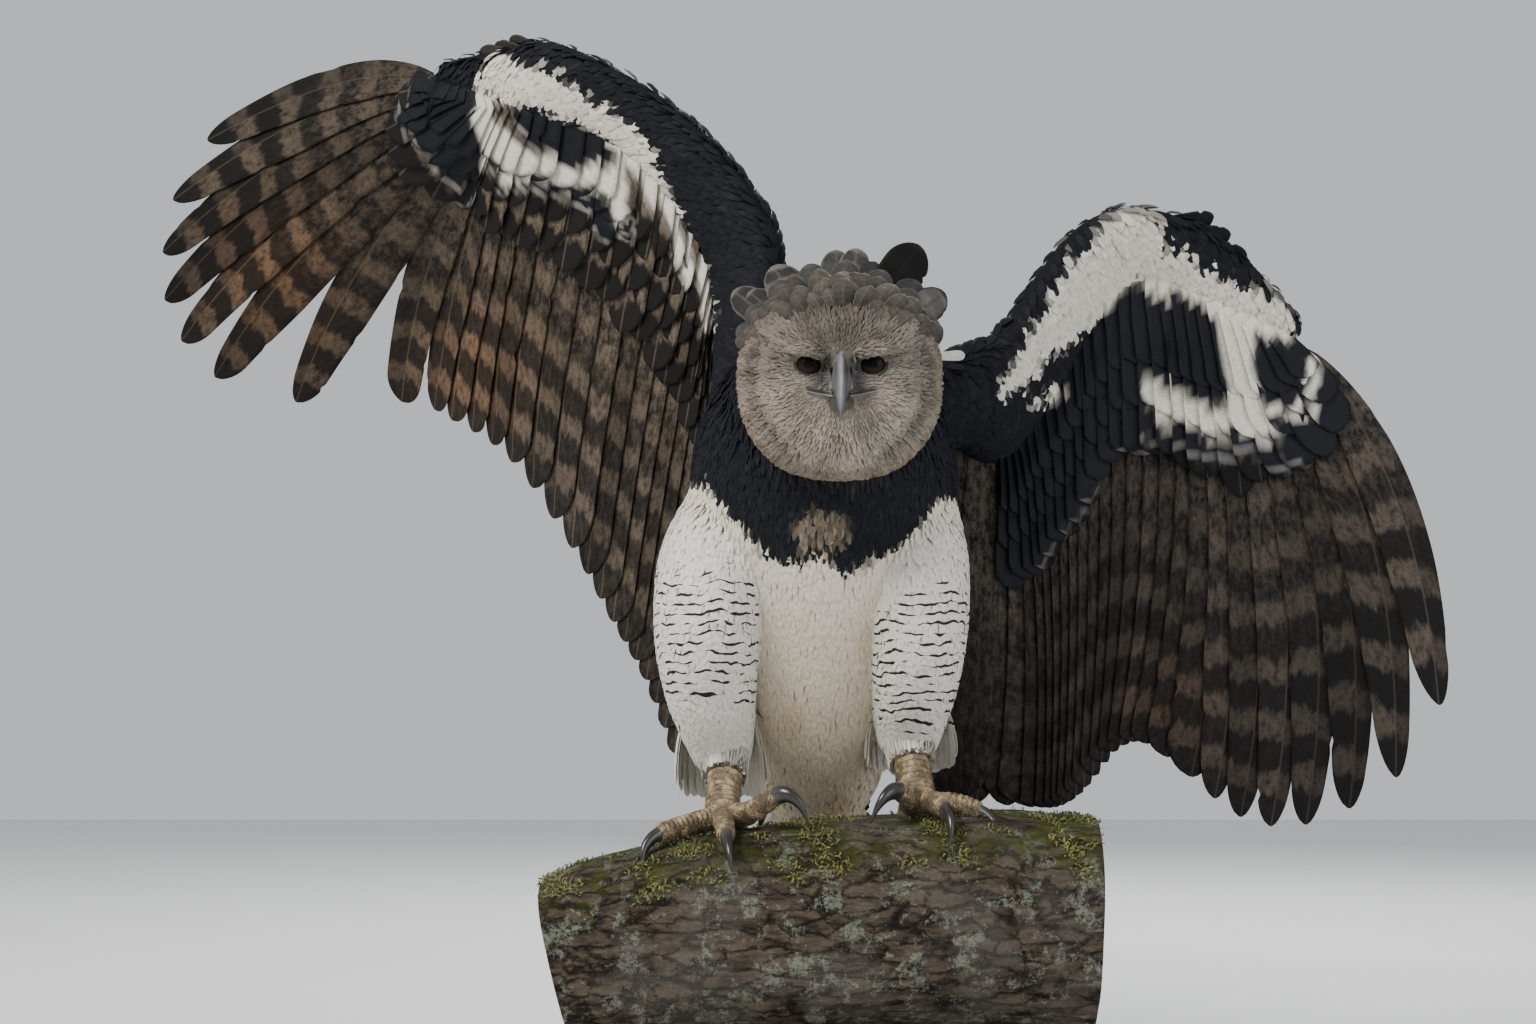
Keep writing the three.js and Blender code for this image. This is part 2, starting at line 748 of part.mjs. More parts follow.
function toe(places, grow = 0) {
  const side = at(places[2]).sub(at(places[0])).cross(V(0, 0, 1)).normalize();
  const relief = (s, c, d) => (d > 0.2 ? TOE.scute * (1 - ((s * TOE.scutes) % 1)) : 0);
  return limb(toeKeys(places), { rows: 10, cols: 7, side, grow, relief });
}

function claw(places, half) {
  const [, b, c, tip] = places.map(at);
  const out = c.clone().sub(b).normalize();
  const start = c.clone().addScaledVector(out, -3);
  const bend = c.clone().addScaledVector(out, 0.62 * c.distanceTo(tip)).lerp(tip, 0.12);
  const arc = new THREE.QuadraticBezierCurve3(start, bend, tip);
  const keys = [0, 0.25, 0.5, 0.75, 1].map((t) => {
    const size = half * (1 - 0.9 * t ** 1.4);
    return [t, ...arc.getPoint(t).toArray(), 0.8 * size, size];
  });
  return limb(keys, { rows: 6, cols: 6, side: out.clone().cross(V(0, 0, 1)).normalize() });
}

const shankOf = (name, grow = 0) =>
  limb(LEGS[name].shank, {
    rows: 16,
    cols: 10,
    grow,
    relief: (s, c, d) => (d < -0.1 ? 1.5 * (1 - ((s * 7) % 1)) : 0),
  });
const thighOf = (name, grow = 0) => limb(LEGS[name].thigh, { rows: 9, cols: 14, grow });

function flags(name) {
  const { root, tip } = FLAGS[name];
  const vanes = [];
  for (let k = 0; k < FLAGS.feathers; k++) {
    const place = (turn, s) => {
      const out = lerp(FLAGS.gather, FLAGS.spread, s) + 20 * s * (1 - s);
      const normal = V(Math.sin(turn), Math.cos(turn), 0);
      const short = 14 * Math.abs(normal.x);
      const point = at(root).lerp(at(tip), s).addScaledVector(normal, out).add(V(0, 0, short * s));
      return [point, normal, out];
    };
    const turn = lerp(-1, 1, k / (FLAGS.feathers - 1)) * THREE.MathUtils.degToRad(FLAGS.turn);
    vanes.push(
      shingle(place, turn, {
        half: FLAGS.half,
        reach: 1 - 0.06 * (k % 2),
        stops: [0, 0.7, 1],
        width: (s) => 1 - 0.65 * s ** 3,
        tilt: 0.3,
      }),
    );
  }
  return vanes;
}

// Branch and stand
const branch = (grow = 0) =>
  limb(BRANCH, {
    rows: 11,
    cols: 16,
    side: V(0, 1, 0),
    grow,
    flat: true,
    square: 2.4,
    relief: (s, c, d) => 1.6 * Math.sin(9 * s + 5 * c) + 1.2 * Math.sin(17 * s - 7 * d),
  });

function base() {
  const [x, y, r] = [BASE.width / 2, BASE.depth / 2, BASE.corner];
  const outline = new THREE.Shape();
  outline.moveTo(-x + r, -y);
  outline.absarc(x - r, -y + r, r, -Math.PI / 2, 0);
  outline.absarc(x - r, y - r, r, 0, Math.PI / 2);
  outline.absarc(-x + r, y - r, r, Math.PI / 2, Math.PI);
  outline.absarc(-x + r, -y + r, r, Math.PI, 1.5 * Math.PI);
  return new THREE.ExtrudeGeometry(outline, { depth: BASE.thick, bevelEnabled: false, curveSegments: 5 });
}

function rod(x) {
  const foot = BASE.thick + GAP - BRANCH_TOP;
  const body = limb(
    [
      [0, x, 0, foot, ROD.radius, ROD.radius],
      [1, x, 0, -120, ROD.radius, ROD.radius],
    ],
    { rows: 3, cols: 16, flat: true },
  );
  return cut(body, branch(GAP));
}

// Assembly
const eagle = new THREE.Group();
eagle.position.set(0, -BRANCH_FRONT, BRANCH_TOP);
const part = new THREE.Group();
part.add(eagle);

function add(name, body, colour, roughness = 0.8, group = eagle, metalness = 0) {
  let geometry = body;
  if (!body.isBufferGeometry) {
    const { vertProperties, triVerts } = body.getMesh();
    geometry = new THREE.BufferGeometry();
    geometry.setAttribute("position", new THREE.BufferAttribute(vertProperties, 3));
    geometry.setIndex(new THREE.BufferAttribute(triVerts, 1));
    geometry.computeVertexNormals();
  }
  const material = new THREE.MeshStandardMaterial({ color: colour, roughness, metalness });
  const mesh = new THREE.Mesh(geometry, material);
  mesh.name = name;
  group.add(mesh);
}

add("torso", torso(), 0xe9e4d8);
add("neck", cut(neck(), torso(GAP)), 0x23252b);

const bill = (grow = 0) =>
  limb(BILL, { rows: 12, cols: 12, grow, round: (s, c, d) => 1 - 0.3 * Math.max(0, d) });
const nostril = (sign) =>
  limb(
    NOSTRIL.map(([t, out, ...rest]) => [t, HEAD.at[0] + sign * out, ...rest]),
    { rows: 5, cols: 6 },
  );
const lowerBill = (grow = 0) => limb(LOWER_BILL, { rows: 6, cols: 10, grow });
const eyes = [-1, 1].map((sign) => ball(eyeMiddle(sign), EYE.radius + GAP));
const skull = fuse(headCore(), lids(-1), lids(1), lip(-1), lip(1), crest());
add("head", cut(skull, neck(GAP), torso(GAP), bill(GAP), lowerBill(GAP), eyes), 0xa9a49b);
const cere = bill().intersect(slab(CERE_END + GAP / 2, CERE_END + 100));
add("cere", cut(cere, nostril(-1), nostril(1)), 0x6d7276, 0.6);
add("bill_upper", bill().intersect(slab(CERE_END - 100, CERE_END - GAP / 2)), 0x3c4147, 0.35);
add("bill_lower", cut(lowerBill(), bill(GAP)), 0x34383d, 0.4);
add("eye_right", ball(eyeMiddle(-1), EYE.radius), 0x20150f, 0.1);
add("eye_left", ball(eyeMiddle(1), EYE.radius), 0x20150f, 0.1);

for (const name of ["right", "left"]) {
  const { toes } = LEGS[name];
  const thigh = fuse(thighOf(name), flags(name));
  add(`thigh_${name}`, cut(thigh, torso(GAP), branch(GAP), toe(toes[1], GAP)), 0xeeebe2);
  add(`shank_${name}`, cut(shankOf(name), branch(GAP), torso(GAP), thighOf(name, GAP)), 0xb59a63, 0.6);
  const taken = [shankOf(name, GAP), branch(GAP)];
  for (const number of [3, 2, 4, 1]) {
    add(`toe_${name}_${number}`, cut(toe(toes[number]), taken), 0xbfa268, 0.6);
    const room = toe(toes[number], GAP);
    add(`claw_${name}_${number}`, cut(claw(toes[number], CLAW[number]), taken, room), 0x2b2e33, 0.35);
    taken.push(room);
  }
  const plan = wingPlan(WINGS[name]);
  const wing = fuse(armOf(plan), wingFeathers(plan));
  add(`wing_${name}`, cut(wing, torso(GAP), neck(GAP), thighOf(name, GAP)), 0x3d3833);
}

add("tail", cut(tail(), torso(GAP)), 0x35312d);
add("branch", branch(), 0x6b5a45, 0.95);
add("stand_base", base(), 0x3a3733, 0.5, part);
add("stand_rod_right", rod(-ROD.apart / 2), 0x8a8d90, 0.3, eagle, 1);
add("stand_rod_left", rod(ROD.apart / 2), 0x8a8d90, 0.3, eagle, 1);

export default part;
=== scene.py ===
"""A life-size harpy eagle on a cut length of branch, its right wing raised and its left wing half open.

Lengths here are millimetres from the branch's top under the right foot, as in the part's source.
`metres` turns them into the frame's metres. The bird faces -Y, so its right side is at -X.
"""
import math

import bpy
import numpy as np
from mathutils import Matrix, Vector
from mathutils.bvhtree import BVHTree


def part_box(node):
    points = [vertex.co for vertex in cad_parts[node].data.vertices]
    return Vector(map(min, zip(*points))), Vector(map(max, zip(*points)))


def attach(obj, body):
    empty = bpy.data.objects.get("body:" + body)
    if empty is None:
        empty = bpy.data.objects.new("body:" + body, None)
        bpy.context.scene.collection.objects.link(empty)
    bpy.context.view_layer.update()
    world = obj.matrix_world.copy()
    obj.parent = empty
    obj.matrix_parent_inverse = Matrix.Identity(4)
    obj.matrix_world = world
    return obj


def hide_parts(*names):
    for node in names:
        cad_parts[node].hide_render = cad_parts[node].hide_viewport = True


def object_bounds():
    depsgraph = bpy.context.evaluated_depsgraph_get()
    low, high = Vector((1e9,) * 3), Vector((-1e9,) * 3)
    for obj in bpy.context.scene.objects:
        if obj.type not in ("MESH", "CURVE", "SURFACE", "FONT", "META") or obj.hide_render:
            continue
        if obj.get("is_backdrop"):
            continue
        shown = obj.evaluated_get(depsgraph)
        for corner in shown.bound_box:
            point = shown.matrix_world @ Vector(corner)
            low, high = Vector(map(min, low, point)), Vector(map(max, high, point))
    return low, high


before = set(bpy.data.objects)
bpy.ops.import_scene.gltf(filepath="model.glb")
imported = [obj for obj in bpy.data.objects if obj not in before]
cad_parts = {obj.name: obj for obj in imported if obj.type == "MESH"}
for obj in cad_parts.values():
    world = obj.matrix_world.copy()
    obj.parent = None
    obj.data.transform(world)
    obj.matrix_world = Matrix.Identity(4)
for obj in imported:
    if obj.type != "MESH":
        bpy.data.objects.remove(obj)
CAD_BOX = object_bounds()
ORIGIN = np.array([0.0, -50.0, 265.0])  # the branch's top under the right foot, from the base's underside
BODY = "root"
random = np.random.default_rng(20)

# Trunk, neck and thighs: [t, x, y, z, half width, half depth]
TORSO = [
    [0, 0, 178, 4, 40, 24],
    [0.1, 0, 154, 38, 60, 46],
    [0.22, 1, 124, 86, 70, 66],
    [0.37, 2, 86, 150, 88, 84],
    [0.52, 3, 46, 220, 112, 94],
    [0.68, 3, 6, 290, 125, 98],
    [0.82, 4, -26, 350, 124, 94],
    [0.93, 5, -50, 400, 106, 82],
    [1, 6, -62, 430, 74, 58],
]
NECK = [
    [0, 5, -20, 386, 92, 74],
    [0.45, 8, -70, 398, 96, 82],
    [1, 12, -128, 406, 76, 74],
]
THIGHS = {
    "right": [
        [0, -72, 22, 300, 36, 44],
        [0.18, -97, -8, 262, 50, 62],
        [0.42, -107, -20, 200, 50, 64],
        [0.66, -105, 6, 140, 45, 54],
        [0.85, -98, 36, 94, 36, 40],
        [1, -92, 56, 60, 27, 29],
    ],
    "left": [
        [0, 72, 22, 306, 36, 44],
        [0.18, 90, -6, 268, 46, 62],
        [0.42, 94, -18, 208, 46, 64],
        [0.66, 91, 8, 150, 43, 54],
        [0.85, 87, 38, 106, 36, 40],
        [1, 85, 56, 74, 28, 30],
    ],
}
SHANKS = {
    "right": [
        [0, -88, 72, 112, 17, 19],
        [0.45, -89, 34, 62, 16, 18],
        [0.8, -92, 2, 24, 17, 18],
        [1, -92, -14, 8, 18, 15],
    ],
    "left": [
        [0, 84, 72, 124, 17, 19],
        [0.45, 86, 36, 74, 17, 18],
        [0.8, 91, 4, 36, 17, 18],
        [1, 93, -12, 20, 18, 15],
    ],
}
# Toes 1 to 4 by their root, knuckle, end and the claw's tip
TOES = {
    "right": {
        1: [[-86, 8, 8], [-80, 46, 6], [-77, 78, -18], [-75, 92, -62]],
        2: [[-84, -18, 10], [-64, -48, 16], [-42, -66, 32], [-12, -74, 6]],
        3: [[-92, -22, 8], [-91, -50, 8], [-88, -80, -4], [-82, -104, -38]],
        4: [[-100, -16, 8], [-126, -30, 2], [-150, -44, -4], [-164, -62, -36]],
    },
    "left": {
        1: [[90, 8, 20], [86, 46, 16], [84, 78, -8], [82, 93, -52]],
        2: [[88, -18, 22], [82, -38, 30], [72, -56, 36], [45, -72, 6]],
        3: [[95, -20, 20], [106, -44, 24], [114, -68, 20], [116, -92, -18]],
        4: [[100, -12, 20], [124, -22, 22], [148, -30, 16], [162, -52, -16]],
    },
}
TOE_ROOT = 12
TOE_END = 9.5
CLAW_HALF = {1: 9.5, 2: 9, 3: 7.5, 4: 7}

HEAD_AT = np.array([15.0, -165.0, 411.0])
HEAD_REACH = {"side": 89.5, "up": 80, "down": 93, "front": 62, "back": 80}
EYE = {"apart": 57, "forward": 43, "above": 6, "radius": 13}
BILL = [
    [0, 15, -204, 411, 15, 17],
    [0.25, 15, -226, 410, 14.5, 17],
    [0.5, 15, -243, 406, 12.5, 16.5],
    [0.7, 15, -255, 396, 9.5, 13],
    [0.86, 14.5, -262, 382, 6, 9],
    [1, 14, -265, 363, 1.2, 2],
]
LOWER_BILL = [
    [0, 15, -200, 385, 14, 8],
    [0.5, 15, -228, 381, 11, 7],
    [1, 15, -247, 379, 4, 4],
]

# Wing arms by their front edge, rear edge and half thickness, and the shafts' tips by feather
FEATHERS = 25
WINGS = {
    "right": {
        "arm": [
            [0, -55, -45, 325, -92, 35, 369, 34],
            [1, -35, 0, 533, -100, 65, 503, 24],
            [2, -61, 15, 610, -139, 65, 591, 21],
            [3, -142, 20, 696, -202, 65, 657, 18],
            [4, -248, 25, 755, -277, 75, 686, 16],
            [5, -313, 85, 761, -326, 115, 709, 13],
            [6, -379, 150, 762, -378, 158, 735, 8],
        ],
        "tips": [
            [0, -142, 132, 66],
            [3, -170, 144, 138],
            [6, -204, 160, 196],
            [9, -247, 188, 271],
            [12, -312, 235, 361],
            [15, -382, 315, 411],
            [17, -441, 370, 435],
            [18, -558, 396, 437],
            [19, -649, 415, 466],
            [21, -706, 425, 551],
            [23, -695, 410, 658],
            [24, -654, 385, 719],
        ],
        "bow": 78,
    },
    "left": {
        "arm": [
            [0, 130, -20, 448, 128, 75, 372, 34],
            [1, 175, 5, 476, 180, 115, 345, 24],
            [2, 214, 25, 534, 224, 115, 394, 21],
            [3, 254, 40, 582, 267, 110, 468, 18],
            [4, 310, 55, 601, 316, 110, 523, 16],
            [5, 397, 90, 578, 388, 130, 503, 13],
            [6, 483, 130, 503, 469, 150, 472, 8],
        ],
        "tips": [
            [0, 156, 134, 17],
            [2, 212, 142, 12],
            [6, 241, 140, 14],
            [9, 263, 138, 32],
            [12, 290, 136, 67],
            [15, 324, 138, 75],
            [17, 370, 144, 42],
            [19, 420, 152, 2],
            [21, 486, 160, -6],
            [23, 576, 160, 41],
            [24, 619, 156, 113],
        ],
        "bow": 104,
    },
}
# Where the shafts leave the arm: [feather, station along the arm]
ROOTS = [[0, 0.9], [3, 1.4], [14, 4.2], [15, 4.4], [24, 5.9]]
STATIONS = 6  # the arm's last station

TAIL_ROOT = np.array([0.0, 158.0, 44.0])
TAIL_TIP = np.array([0.0, 448.0, -204.0])

# Branch: [t, x, y, z, half depth, half height]
BRANCH = [
    [0, -240, 6, -136, 104, 90],
    [0.3, -130, 0, -108, 106, 95],
    [0.5, -20, 0, -94, 108, 98],
    [0.75, 120, 2, -88, 106, 102],
    [1, 255, 6, -93, 102, 101],
]

SIDES = {"right": -1, "left": 1}  # each side's sign along x
X = np.array([1.0, 0.0, 0.0])
Y = np.array([0.0, 1.0, 0.0])
Z = np.array([0.0, 0.0, 1.0])


def metres(points):
    return (np.asarray(points, float) + ORIGIN) / 1000


def unit(v):
    return v / np.maximum(np.linalg.norm(v, axis=-1, keepdims=True), 1e-9)


def bell(x, width):
    return np.exp(-x * x / (2 * width * width))


def lerp(a, b, s):
    return a + (b - a) * s


def smooth(low, high, x):
    s = np.clip((x - low) / (high - low), 0, 1)
    return s * s * (3 - 2 * s)


def curve(keys):
    """A smooth curve through keys [t, a, b, ...], which gives [a, b, ...] for an array of t."""
    keys = np.array(keys, float)
    ts, values = keys[:, 0], keys[:, 1:]
    before = np.maximum(np.arange(len(keys)) - 1, 0)
    after = np.minimum(np.arange(len(keys)) + 1, len(keys) - 1)
    slopes = (values[after] - values[before]) / (ts[after] - ts[before])[:, None]

    def at(t):
        t = np.asarray(t, float)
        i = np.clip(np.searchsorted(ts, t) - 1, 0, len(ts) - 2)
        h = (ts[i + 1] - ts[i])[..., None]
        s = np.clip((t - ts[i])[..., None] / h, 0, 1)
        s2, s3 = s * s, s * s * s
        start = values[i] * (2 * s3 - 3 * s2 + 1) + slopes[i] * h * (s3 - 2 * s2 + s)
        end = values[i + 1] * (3 * s2 - 2 * s3) + slopes[i + 1] * h * (s3 - s2)
        return start + end

    return at


# Meshes from arrays

def mesh_object(name, points, faces, material, rim=None, verts_each=0):
    """An object from points in millimetres and a list of face arrays of 3 or 4 corners each.
    Where pieces are alike, `rim` says which pairs of a piece's own points make a sharp edge."""
    mesh = bpy.data.meshes.new(name)
    points = metres(points).astype(np.float32)
    mesh.vertices.add(len(points))
    mesh.vertices.foreach_set("co", points.ravel())
    corners = np.concatenate([np.asarray(f).ravel() for f in faces]).astype(np.int32)
    sizes = np.concatenate([np.full(len(f), np.shape(f)[1]) for f in faces])
    starts = np.concatenate([[0], np.cumsum(sizes)[:-1]]).astype(np.int32)
    mesh.loops.add(len(corners))
    mesh.loops.foreach_set("vertex_index", corners)
    mesh.polygons.add(len(starts))
    mesh.polygons.foreach_set("loop_start", starts)
    mesh.polygons.foreach_set("use_smooth", np.ones(len(starts), bool))
    mesh.update(calc_edges=True)
    if rim is not None:
        ends = np.zeros(len(mesh.edges) * 2, np.int32)
        mesh.edges.foreach_get("vertices", ends)
        ends = ends.reshape(-1, 2) % verts_each
        sharp = mesh.attributes.new("sharp_edge", "BOOLEAN", "EDGE")
        sharp.data.foreach_set("value", rim[ends[:, 0], ends[:, 1]])
    mesh.materials.append(material)
    piece = bpy.data.objects.new(name, mesh)
    bpy.context.scene.collection.objects.link(piece)
    return piece


def mesh_values(piece, name):
    values = np.zeros(len(piece.data.vertices) * 3)
    piece.data.vertices.foreach_get(name, values)
    return values.reshape(-1, 3)


def mesh_points(piece):
    return mesh_values(piece, "co") * 1000 - ORIGIN


def move_points(piece, points):
    piece.data.vertices.foreach_set("co", metres(points).astype(np.float32).ravel())
    piece.data.update()


LAYERS = {"tint": ("FLOAT_COLOR", "color"), "plain": ("FLOAT", "value"), "soft": ("FLOAT", "value")}


def paint(piece, name, values):
    """Stores colours where the name is tint, numbers where it is plain or soft, or else vectors."""
    kind, field = LAYERS.get(name, ("FLOAT_VECTOR", "vector"))
    values = np.asarray(values, float)
    if name == "tint":
        colours = np.broadcast_to(values.reshape(-1, 3), (len(piece.data.vertices), 3))
        values = np.concatenate([np.clip(colours, 0, 1), np.ones((len(colours), 1))], axis=1)
    layer = piece.data.attributes.new(name, kind, "POINT")
    layer.data.foreach_set(field, values.astype(np.float32).ravel())


def unwrap(piece, places):
    """The bake map from one place for each point."""
    corners = np.zeros(len(piece.data.loops), np.int32)
    piece.data.loops.foreach_get("vertex_index", corners)
    layer = piece.data.uv_layers.new(name="OFBake")
    layer.data.foreach_set("uv", places[corners].astype(np.float32).ravel())


def unwrap_front(piece, middle, size):
    """The bake map of a small piece, seen from the front."""
    unwrap(piece, 0.5 + (mesh_points(piece)[:, [0, 2]] - middle) / size)


def show(piece, slot, *nodes):
    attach(piece, BODY)
    if nodes:
        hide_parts(*nodes)
    return piece


def closed_faces(rows, cols):
    """Faces of a closed surface from pole to pole, whose points are a pole, rings and a pole."""
    j = np.arange(cols)
    k = (j + 1) % cols
    first = 1 + j
    last = 1 + (rows - 2) * cols
    end = 1 + (rows - 1) * cols
    caps = np.concatenate([
        np.stack([np.zeros(cols, int), 1 + k, first], axis=1),
        np.stack([last + j, last + k, np.full(cols, end)], axis=1),
    ])
    i = np.arange(rows - 2)[:, None] * cols + 1
    sides = np.stack([i + j, i + k, i + cols + k, i + cols + j], axis=-1).reshape(-1, 4)
    return [caps, sides]


def closed_points(rows, cols, place):
    """Points of that surface: place(u, v) gives points for arrays of u along the axis and v round it."""
    u, v = np.meshgrid(np.arange(1, rows) / rows, np.arange(cols) / cols, indexing="ij")
    ends = place(np.array([0.0, 1.0]), np.array([0.0, 0.0]))
    return np.concatenate([ends[:1], place(u.ravel(), v.ravel()), ends[1:]])


def stacked(*values):
    """Arrays of one shape, or numbers, as the columns of one array."""
    return np.stack(np.broadcast_arrays(*values), axis=-1)


def merged(parts):
    """Several (points, faces) as one."""
    points, faces, count = [], [], 0
    for p, fs in parts:
        points.append(p)
        faces += [np.asarray(f) + count for f in fs]
        count += len(p)
    return np.concatenate(points), faces


class Limb:
    """A tube through keys [t, x, y, z, half width, half depth], its width measured along `side`."""

    def __init__(self, keys, side=(1, 0, 0), flat=False, square=2.0):
        self.line = curve(keys)
        self.side = np.array(side, float)
        self.flat = flat
        self.square = square

    def frame(self, t):
        step = 0.01
        here = self.line(t)
        ahead = self.line(np.minimum(1, t + step))[..., :3]
        along = unit(ahead - self.line(np.maximum(0, t - step))[..., :3])
        across = unit(self.side - along * (along @ self.side)[..., None])
        return here[..., :3], along, across, np.cross(along, across), here[..., 3], here[..., 4]

    def at(self, t, angle, grow=0.0, wider=1.0):
        middle, _, across, up, wide, deep = self.frame(t)
        c, d = np.cos(angle), np.sin(angle)
        bulge = (np.abs(c) ** self.square + np.abs(d) ** self.square) ** (-1 / self.square)
        out = across * ((wide * wider * bulge + grow) * c)[..., None]
        return middle + out + up * ((deep * bulge + grow) * d)[..., None]

    def solid(self, rows, cols, grow=0.0, relief=None, wider=None, span=(0, 1)):
        def place(u, v):
            t = lerp(span[0], span[1], np.clip((u * rows - 1) / (rows - 2), 0, 1))
            angle = 2 * np.pi * v
            extra = grow + (relief(t, angle) if relief else 0)
            widths = wider(t, angle) if wider else 1.0
            points = self.at(t, angle, extra, widths)
            middle, along, _, _, wide, deep = self.frame(t)
            cap = (0 if self.flat else 0.35 * np.minimum(wide, deep)) + grow
            pole = np.where(u == 0, -1, np.where(u == 1, 1, 0))
            ends = middle + along * (pole * cap)[..., None]
            return np.where((pole != 0)[..., None], ends, points)

        return closed_points(rows, cols, place), closed_faces(rows, cols)

    def near(self, p):
        """For points p: place along the tube, angle, and distance from its middle in radii."""
        t = np.linspace(0, 1, 41)
        middle, along, across, up, wide, deep = self.frame(t)
        apart = ((p[:, None, :] - middle[None]) ** 2).sum(-1)
        k = apart.argmin(1)
        off = p - middle[k]
        c = (off * across[k]).sum(-1) / wide[k]
        d = (off * up[k]).sum(-1) / deep[k]
        ahead = (off * along[k]).sum(-1)
        speed = np.linalg.norm(np.gradient(middle, t, axis=0), axis=-1)[k]
        place = np.clip(t[k] + ahead / speed, 0, 1)
        past = np.abs(ahead) / np.maximum(wide[k], deep[k])
        return place, np.arctan2(d, c), np.sqrt(c * c + d * d + past * past)


def back_of(along, over):
    """The wing's back is the side that faces away from the viewer, at +Y."""
    normal = unit(np.cross(along, over))
    return np.where(normal[..., 1:2] < 0, -normal, normal)


class Wing:
    """A wing's arm and the surface that its feathers' shafts rule, by feather f and share s of the shaft."""

    def __init__(self, arm, tips, bow):
        self.edges = curve(arm)
        self.roots = curve(ROOTS)
        self.tip = curve(tips)
        self.bow = bow

    def chord(self, t, inward):
        edge = self.edges(t)
        return lerp(edge[..., :3], edge[..., 3:6], np.asarray(inward)[..., None])

    def root(self, f):
        return self.chord(self.roots(f)[..., 0], 0.8 + 0 * f)

    def mid(self, f):
        return lerp(self.root(f), self.tip(f), 0.5)

    def bend(self, f):
        over = unit(self.mid(np.minimum(f + 0.5, FEATHERS - 1)) - self.mid(np.maximum(f - 0.5, 0)))
        back = back_of(unit(self.tip(f) - self.root(f)), over)
        outward = self.bow * (0.25 + 0.75 * (f / FEATHERS) ** 2)
        return self.mid(f) + over * outward[..., None] + back * 10

    def inner(self, f, s):
        p, q, r = self.root(f), self.bend(f), self.tip(f)
        s = s[..., None]
        return lerp(lerp(p, q, s), lerp(q, r, s), s)

    def shaft(self, f, s):
        edge = np.clip(f, 0, FEATHERS - 1)
        here = self.inner(edge, s)
        beside = self.inner(edge + np.where(f < edge, 1, -1), s)
        return here + (here - beside) * np.abs(f - edge)[..., None]

    def along(self, f, s):
        return unit(self.shaft(f, s + 0.02) - self.shaft(f, s - 0.02))

    def next(self, f, s):
        return self.shaft(f + 0.5, s) - self.shaft(f - 0.5, s)

    def back(self, f, s):
        return back_of(self.along(f, s), self.next(f, s))

    def arm(self, rows, cols, grow=0.0):
        def place(u, v):
            t = STATIONS * np.clip((u * rows - 1) / (rows - 2), 0, 1)
            edge = self.edges(t)
            half = (edge[..., 3:6] - edge[..., :3]) / 2
            middle = edge[..., :3] + half
            ahead = self.chord(np.minimum(STATIONS, t + 0.1), 0.5)
            along = unit(ahead - self.chord(np.maximum(0, t - 0.1), 0.5))
            back = back_of(along, -half)
            wide = np.linalg.norm(half, axis=-1)
            angle = 2 * np.pi * v
            out = half * ((1 + grow / wide) * np.cos(angle))[..., None]
            ring = middle + out + back * ((edge[..., 6] + grow) * np.sin(angle))[..., None]
            pole = np.where(u == 0, -1, np.where(u == 1, 1, 0))
            ends = middle + along * (pole * (10 + grow))[..., None]
            return np.where((pole != 0)[..., None], ends, ring)

        return closed_points(rows, cols, place), closed_faces(rows, cols)

    def near_arm(self, p):
        """For points p: station along the arm, share of the way from front to rear edge, height to the back
        in half thicknesses, and distance from the arm's middle in radii."""
        t = np.linspace(0, STATIONS, 61)
        edge = self.edges(t)
        half = (edge[:, 3:6] - edge[:, :3]) / 2
        middle = edge[:, :3] + half
        along = unit(np.gradient(middle, axis=0))
        back = back_of(along, -half)
        wide = np.linalg.norm(half, axis=-1)
        k = (np.abs(((p[:, None, :] - middle[None]) * along[None]).sum(-1))
             + 0.3 * np.linalg.norm(p[:, None, :] - middle[None], axis=-1)).argmin(1)
        off = p - middle[k]
        across = (off * half[k]).sum(-1) / wide[k] ** 2
        high = (off * back[k]).sum(-1) / edge[k, 6]
        past = np.abs((off * along[k]).sum(-1)) / wide[k]
        return t[k], 0.5 + across / 2, high, np.sqrt(across**2 + high**2 + past**2)


# Materials

class Value:
    """What a material's node gives. Arithmetic on a number adds the nodes for it."""

    def __init__(self, tree, socket):
        self.tree = tree
        self.socket = socket

    def __add__(self, other):
        return self.tree.math("ADD", self, other)

    def __sub__(self, other):
        return self.tree.math("SUBTRACT", self, other)

    def __rsub__(self, other):
        return self.tree.math("SUBTRACT", other, self)

    def __mul__(self, other):
        return self.tree.math("MULTIPLY", self, other)

    def __truediv__(self, other):
        return self.tree.math("DIVIDE", self, other)

    def __abs__(self):
        return self.tree.math("ABSOLUTE", self)

    __radd__ = __add__
    __rmul__ = __mul__


